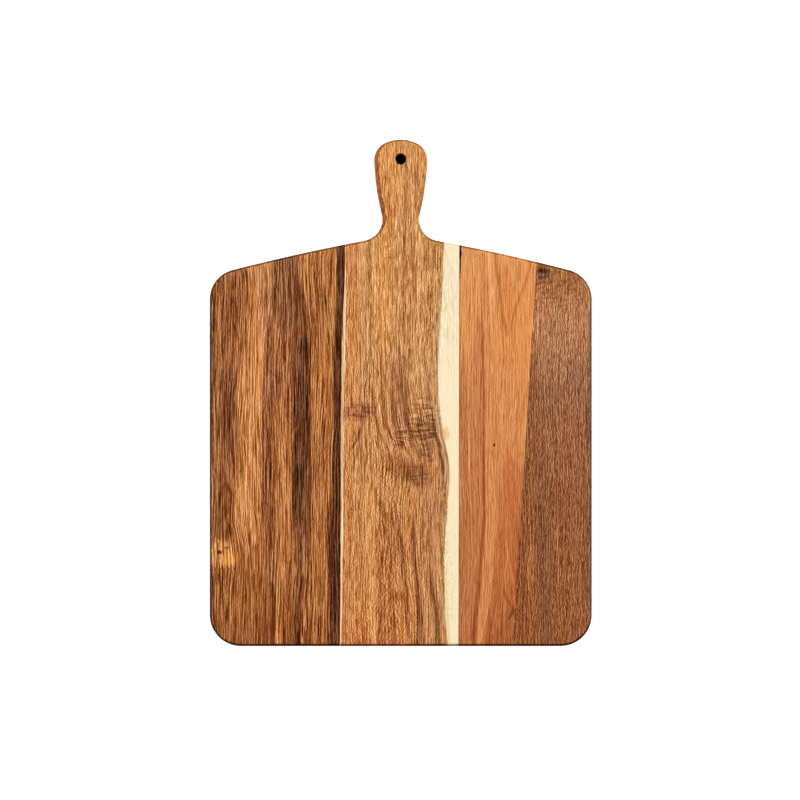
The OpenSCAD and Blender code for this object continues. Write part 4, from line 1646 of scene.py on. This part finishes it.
CENTRE_FLAWS = (
    Flaw("drying crack", 2.5,
         ((-29.9, 9.6), (-30.6, 9), (-31.3, 5), (-31.8, 0.5), (-31.7, -3), (-31.1, -6.9),
          (-30.8, -3), (-31, 0.5), (-30.5, 4.5), (-29.9, 8))),
)

CENTRE_FINISH = AcaciaFinish(
    "gold acacia", CENTRE_GRADE, CENTRE_LAYERS, CENTRE_STREAKS, CENTRE_THREADS, seed=17.0,
    lean=-0.2, blotches=CENTRE_BLOTCHES, ripples=CENTRE_RIPPLES, flows=CENTRE_FLOWS, lift=0.5,
    pale_calm=0.12)

# The orange stave: calm orange wood with pointed tongues of grain, and half a knot at its foot
ORANGE_GRADE = ((-218, "#ac6438"), (-120, "#c77844"), (-40, "#d99059"), (40, "#e09558"),
                (120, "#e29d61"))

ORANGE_LAYERS = (
    Layer(0.8, 14.0, 0.39, 0.15, paired=True),
    Layer(0.6, 2.5, 0.44, 0.18, paired=True),
    Layer(0.85, 70.0, 0.44, 0.15, paired=True, beads=12.0),
    Layer(1.8, 60.0, 0.17, 0.07, 0.34, 0.66, beads=20.0),
    Layer(4.5, 90.0, 0.07, 0.04),
    Layer(0.9, 10.0, 0.5, 0.0, 0.62, 0.74),
)

ORANGE_STREAKS = (
    Streak("joint hairline", "#87602f", 0.5, 0.8,
           ((-216, 50.1, 0.4), (-6, 50.6, 0.4), (126, 50.95, 0.5)), sawn=True),
    # Painted shade in the open end of the joint, over the cut gap
    Streak("open joint shade", "#1a0d06", 0.3, 1.0,
           ((95, 50.9, 0), (108, 51.1, 0.6), (116, 51.2, 0.75), (120, 51.4, 1.1),
            (124, 51.2, 0.8), (130, 51.2, 0.8)), sawn=True),
    Streak("red strip", "#bf7a4e", 2.2, 0.8,
           ((-216, 53.9, 3.5), (-162, 53.9, 3.5), (-92, 53.9, 3.5), (-41, 53.9, 3.1),
            (11, 53.9, 2.6), (54, 53.9, 0))),
    Streak("pale thread", "#d18f5e", 1, 0.7,
           ((-110, 60, 0), (-92, 60, 0.8), (-41, 59.5, 1), (11, 59.4, 0.9), (46, 59.1, 0))),
    Streak("red middle strip", "#c88050", 2.6, 0.8,
           ((-216, 57.4, 3.5), (-162, 60.8, 4.3), (-110, 64.3, 5.2), (-67, 65.1, 5.2),
            (-23, 65.1, 4.8), (20, 66, 4.3), (54, 66.9, 2.6), (80, 66.9, 0))),
    Streak("dark thread", "#b46a3d", 1.2, 0.9,
           ((-216, 62.5, 1), (-200, 63.4, 1), (-176, 66, 1), (-150, 67.7, 1.2), (-121, 71, 1.1),
            (-92, 71.7, 1.1), (-58, 71.7, 1.2), (-6, 71.5, 1.2), (54, 70.3, 0.9), (80, 69.5, 0))),
    Streak("gold band", "#da935b", 2.6, 0.9,
           ((-216, 68.6, 3.5), (-196, 70.3, 3.9), (-162, 74.6, 4.8), (-127, 77.2, 5.2),
            (-92, 79, 5.2), (-41, 76.8, 4.3), (11, 76.4, 4.3), (80, 74.6, 4.3), (124, 68.6, 2.6))),
    Streak("bright right band", "#e89b5c", 3.5, 0.7,
           ((-67, 102.3, 0), (-41, 104, 1.7), (-6, 104.9, 2.6), (37, 106.6, 4.3),
            (80, 108.3, 5.2), (113, 108.3, 4.3))),
    Streak("inner tongue", "#df955d", 2.6, 0.8,
           ((-41, 92.4, 0), (-36, 92.4, 2.2), (-23, 92.4, 4.8), (-6, 92.4, 6), (18, 91.9, 6.9),
            (35, 91.9, 0))),
    Streak("tongue left edge", "#d38b51", 1, 0.6,
           ((-41, 92.4, 0), (-37, 91.1, 0.9), (-23, 86.3, 0.9), (-6, 83.7, 0.9), (7, 82.4, 0))),
    Streak("tongue right edge", "#c77f4d", 1, 0.6,
           ((-41, 92.4, 0), (-37, 93.2, 0.9), (-23, 98, 0.9), (-6, 101.4, 0.9), (7, 102.3, 0))),
    Streak("second edge left", "#d78a4d", 1.4, 0.5,
           ((-56, 92.4, 0), (-51, 91.1, 1), (-41, 86.7, 1), (-23, 82.4, 1), (-2, 79, 0))),
    Streak("second edge right", "#dd8e55", 1.4, 0.5,
           ((-56, 92.4, 0), (-51, 93.6, 1), (-41, 98, 1), (-23, 102.3, 1), (-2, 105.7, 0))),
    Streak("upper tongue", "#cf7836", 2.6, 0.5,
           ((53, 91.9, 0), (58, 91.9, 1), (76, 91.5, 3), (98, 91.1, 4.3), (113, 91.1, 0))),
    Streak("upper tongue edges", "#f7ab65", 1.4, 0.5,
           ((53, 91.9, 0), (63, 90.6, 0.9), (85, 87.6, 0.9), (106, 85.9, 0))),
    Streak("upper tongue edge right", "#dd8541", 1.4, 0.5,
           ((53, 91.9, 0), (63, 93.2, 0.9), (85, 95.8, 0.9), (106, 97.1, 0))),
    Streak("red foot field", "#cc7947", 4.3, 0.8,
           ((-118, 91.1, 0), (-106, 92.8, 6.9), (-92, 93.6, 8.6), (-67, 94.5, 6.9),
            (-49, 94.5, 0))),
    Streak("foot peak light", "#c87a45", 1.7, 0.7,
           ((-214, 77.2, 0), (-192, 83.3, 5.2), (-179, 85.9, 7.8), (-162, 87.6, 7.3),
            (-146, 88.5, 4.3), (-131, 88.9, 2.1), (-118, 89.3, 0))),
    Streak("foot peak left edge", "#b86736", 1.2, 0.7,
           ((-216, 69.9, 1), (-188, 75.9, 1), (-162, 79.8, 1), (-149, 82.8, 1), (-131, 86.4, 0.9),
            (-117, 89.3, 0))),
    Streak("foot peak right edge", "#d18249", 1.2, 0.7,
           ((-172, 97.1, 0), (-162, 95.8, 1), (-146, 93.3, 1), (-131, 91.1, 0.9),
            (-117, 89.3, 0))),
    Streak("foot right red", "#b56639", 1.7, 0.7,
           ((-182, 96.2, 0), (-176, 96.2, 1.7), (-153, 98, 2.6), (-118, 99.7, 2.6),
            (-101, 100.6, 0))),
    Streak("knot wing left", "#aa6137", 1.7, 0.8,
           ((-188, 97.1, 0), (-184, 95.4, 2.1), (-177, 91.1, 1.6), (-170, 88.5, 1.4),
            (-167, 87.6, 0))),
    Streak("knot wing low", "#754020", 1.6, 0.8,
           ((-198, 91.1, 0), (-194, 93.6, 1.4), (-189, 96.2, 1.7), (-182, 97.1, 0))),
)

ORANGE_THREADS = (
    Thread(0.45, ((50, 91.5, 1), (63, 88.5, 1.4), (95, 84.5, 1.2), (123, 81.5, 1))),
    Thread(0.4, ((55, 95, 1), (75, 100, 1.2), (113, 111, 1))),
    Thread(-0.25, ((20, 79, 1.2), (80, 78, 1.4), (122, 76, 1.2))),
    Thread(0.3, ((-216, 62, 0.8), (-195, 63.5, 0.9), (-170, 67, 0.9), (-145, 69.5, 0.9),
                 (-110, 72, 0.8), (-60, 71, 0.8), (-5, 71.5, 0.9), (50, 70.5, 0.7),
                 (100, 69, 0.5))),
    Thread(0.2, ((-60, 79, 0.4), (0, 80.5, 0.5), (80, 79, 0.4))),
    Thread(-0.22, ((-42, 91.5, 0.4), (-28, 87.5, 0.7), (-10, 84.5, 0.7), (15, 83, 0.5))),
    Thread(-0.2, ((-40, 93, 0.4), (-25, 97.5, 0.7), (0, 100.5, 0.7), (30, 101, 0.4))),
    Thread(0.2, ((-25, 100, 0.5), (0, 103, 0.6), (30, 104.5, 0.5))),
    Thread(0.22, ((25, 88.5, 0.5), (60, 87, 0.8), (100, 85.5, 0.6))),
    Thread(0.2, ((40, 97, 0.6), (70, 96.5, 0.7), (105, 99, 0.5))),
    Thread(0.16, ((-20, 106, 0.6), (30, 107.5, 0.7), (70, 109, 0.6))),
    Thread(-0.25, ((-110, 60.3, 0.5), (-40, 59.8, 0.6))),
    Thread(0.2, ((-120, 57, 0.6), (-40, 57.4, 0.6), (20, 57.5, 0.5))),
    Thread(-0.25, ((-216, 70.5, 0.6), (-180, 76.5, 0.8), (-150, 82, 0.8), (-125, 87.5, 0.5))),
    Thread(-0.25, ((-165, 96.5, 0.5), (-150, 94.5, 0.7), (-130, 91.5, 0.5))),
    Thread(0.2, ((-216, 76, 0.6), (-190, 80, 0.8), (-165, 84, 0.6))),
    Thread(0.28, ((-172, 99.5, 0.6), (-150, 100.5, 0.7), (-120, 102, 0.5))),
)

ORANGE_FLAWS = (
    Flaw("open joint end", 7.0,
         ((50.3, 97), (50.9, 97), (51.5, 108), (51.8, 116), (52.4, 120), (51.9, 123.5),
          (51.9, 129), (50.3, 129))),
    Flaw("pin knot hole", 1.6,
         ((80.5, -42.8), (81.1, -44.1), (81.6, -45.2), (81.2, -46.2), (80.5, -46.6),
          (79.8, -46.2), (79.4, -45.2), (79.9, -44.1))),
)

ORANGE_FINISH = AcaciaFinish(
    "orange acacia", ORANGE_GRADE, ORANGE_LAYERS, ORANGE_STREAKS, ORANGE_THREADS, seed=31.0,
    lean=0.1, lift=0.15, pore_strength=0.2)

# The brown stave: dark walnut brown wood with a fine even grain, and a dark curl at its head
BROWN_GRADE = ((-218, "#ad6e41"), (-100, "#ab6f47"), (0, "#b27c59"), (60, "#d0966c"),
               (120, "#ae733b"))

BROWN_LAYERS = (
    Layer(0.75, 8.0, 0.96, 0.27, paired=True),
    Layer(0.6, 2.0, 1.14, 0.36, paired=True),
    Layer(0.85, 45.0, 0.84, 0.24, paired=True, beads=5.0),
    Layer(1.6, 16.0, 0.24, 0.09, 0.34, 0.66, beads=6.0),
    Layer(4.5, 30.0, 0.14, 0.07),
    Layer(0.9, 6.0, 0.72, 0.0, 0.6, 0.72),
)

BROWN_STREAKS = (
    Streak("left red shade", "#aa6c43", 2.4, 0.7,
           ((-127, 106.6, 0), (-101, 109.2, 3.5), (-67, 110.9, 4.3), (-23, 113.5, 5.2),
            (20, 114.4, 4.3), (46, 114.4, 0))),
    Streak("dark foot border", "#a96a40", 1.8, 0.7,
           ((-216, 99.7, 2.6), (-188, 101.4, 3), (-162, 102.7, 2.6), (-127, 105.7, 3),
            (-92, 108.3, 2.2))),
    Streak("gold foot strip", "#d28c57", 1.2, 0.7,
           ((-179, 111.8, 0), (-162, 110.9, 1.9), (-144, 111.8, 1.9), (-127, 111.8, 0))),
    Streak("dark middle band", "#a26d4a", 3.6, 0.6,
           ((-216, 125.6, 6), (-179, 126.5, 7.8), (-144, 125.6, 9.5), (-92, 125.6, 8.6),
            (-67, 127.3, 0))),
    Streak("light red band", "#b5774f", 3, 0.6,
           ((-216, 150.7, 4.3), (-179, 150.7, 5.2), (-144, 149.8, 6.9), (-101, 148.1, 7.8),
            (-67, 143.8, 9.5), (-23, 145.5, 9.5), (2, 144.6, 0))),
    Streak("light thread", "#ca895b", 1.2, 0.6,
           ((-188, 137.7, 0), (-162, 136, 1.7), (-127, 135.1, 1.7), (-101, 135.1, 0))),
    # Painted shade along the right rounded edge
    Streak("painted right edge shade", "#9d6c4c", 1.5, 0.9,
           ((-205, 159.3, 0), (-192, 161.9, 2.2), (-170, 162.8, 3.1), (-127, 162.8, 3.1),
            (-75, 163.6, 1.7), (-32, 163.6, 2.6), (2, 163.6, 2.2), (80, 164.5, 1.4),
            (102, 165.4, 0))),
    Streak("olive band", "#c89870", 3, 0.5,
           ((-6, 139.4, 0), (28, 137.7, 4.3), (54, 135.1, 5.2), (72, 134.3, 4.3), (89, 134.3, 0))),
)

BROWN_THREADS = (
    Thread(0.35, ((-216, 104, 0.6), (-190, 105, 0.7), (-160, 107, 0.5))),
    Thread(0.3, ((-190, 118, 0.5), (-140, 119.5, 0.7), (-90, 119, 0.5))),
    Thread(0.3, ((-100, 126, 0.6), (-50, 127, 0.6))),
    Thread(-0.25, ((-190, 113.5, 0.6), (-150, 114, 0.7), (-120, 112, 0.5))),
    Thread(-0.3, ((-28, 141.5, 0.5), (-10, 139.5, 0.6), (5, 138.5, 0.4))),
    Thread(0.5, ((-45, 160.5, 0.6), (-25, 160.5, 0.9), (-8, 161.5, 0.6))),
    Thread(0.4, ((60, 140, 0.7), (72, 140, 0.6))),
    Thread(0.25, ((-150, 146, 0.5), (-90, 145.5, 0.6))),
    Thread(0.3, ((0, 128, 0.6), (35, 126, 0.6))),
    Thread(-0.25, ((40, 117, 0.5), (62, 118.5, 0.5))),
)

BROWN_BLOTCHES = (
    Blotch("dark curl", "#593b24", (122.6, 104.9), (6, 3.1), 1.0),
    Blotch("purple shade", "#9d7362", (122.2, 100.1), (6.9, 4.3), 0.7),
    Blotch("right dark patch", "#a4765a", (152.4, 14.6), (8.6, 15.6), 0.5),
    Blotch("upper pink", "#d49768", (158.4, 88.9), (6.9, 13.8), 0.4),
)

BROWN_RIPPLES = (
    Ripple("crosswise figure", (123.7, 91.6), (9.0, 9.0), 0.9, (10.0, 1.8), -14.0),
    Ripple("wavy upper part", (135.0, 95.0), (34.0, 36.0), 0.55, (7.0, 2.2), -17.0),
)

BROWN_FINISH = AcaciaFinish(
    "walnut brown acacia", BROWN_GRADE, BROWN_LAYERS, BROWN_STREAKS, BROWN_THREADS, seed=53.0,
    lean=-0.35, blotches=BROWN_BLOTCHES, ripples=BROWN_RIPPLES, lift=0.3, thread_depth=1.2)

GLUE_FINISH = GlueFinish("cured wood glue", "#5c3c22", "#33200f")
PALE_GLUE_FINISH = GlueFinish("cured wood glue beside sapwood", "#e2b37c", "#b9854f")


def main() -> None:
    """Builds the studio and the board."""
    logging.basicConfig(level=logging.INFO, format="%(message)s")
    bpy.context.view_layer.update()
    scene = bpy.context.scene
    scene.view_settings.view_transform = "Standard"
    Studio().build()
    Board(
        staves=(Stave("left_stave", Slot.LEFT, LEFT_FINISH),
                Stave("centre_stave", Slot.CENTRE, CENTRE_FINISH, CENTRE_FLAWS),
                Stave("orange_stave", Slot.ORANGE, ORANGE_FINISH, ORANGE_FLAWS),
                Stave("brown_stave", Slot.BROWN, BROWN_FINISH)),
        films=(GlueLine("left_glue_line", PALE_GLUE_FINISH),
               GlueLine("middle_glue_line", GLUE_FINISH),
               GlueLine("right_glue_line", GLUE_FINISH)),
    ).build()


if __name__ == "__main__":
    main()
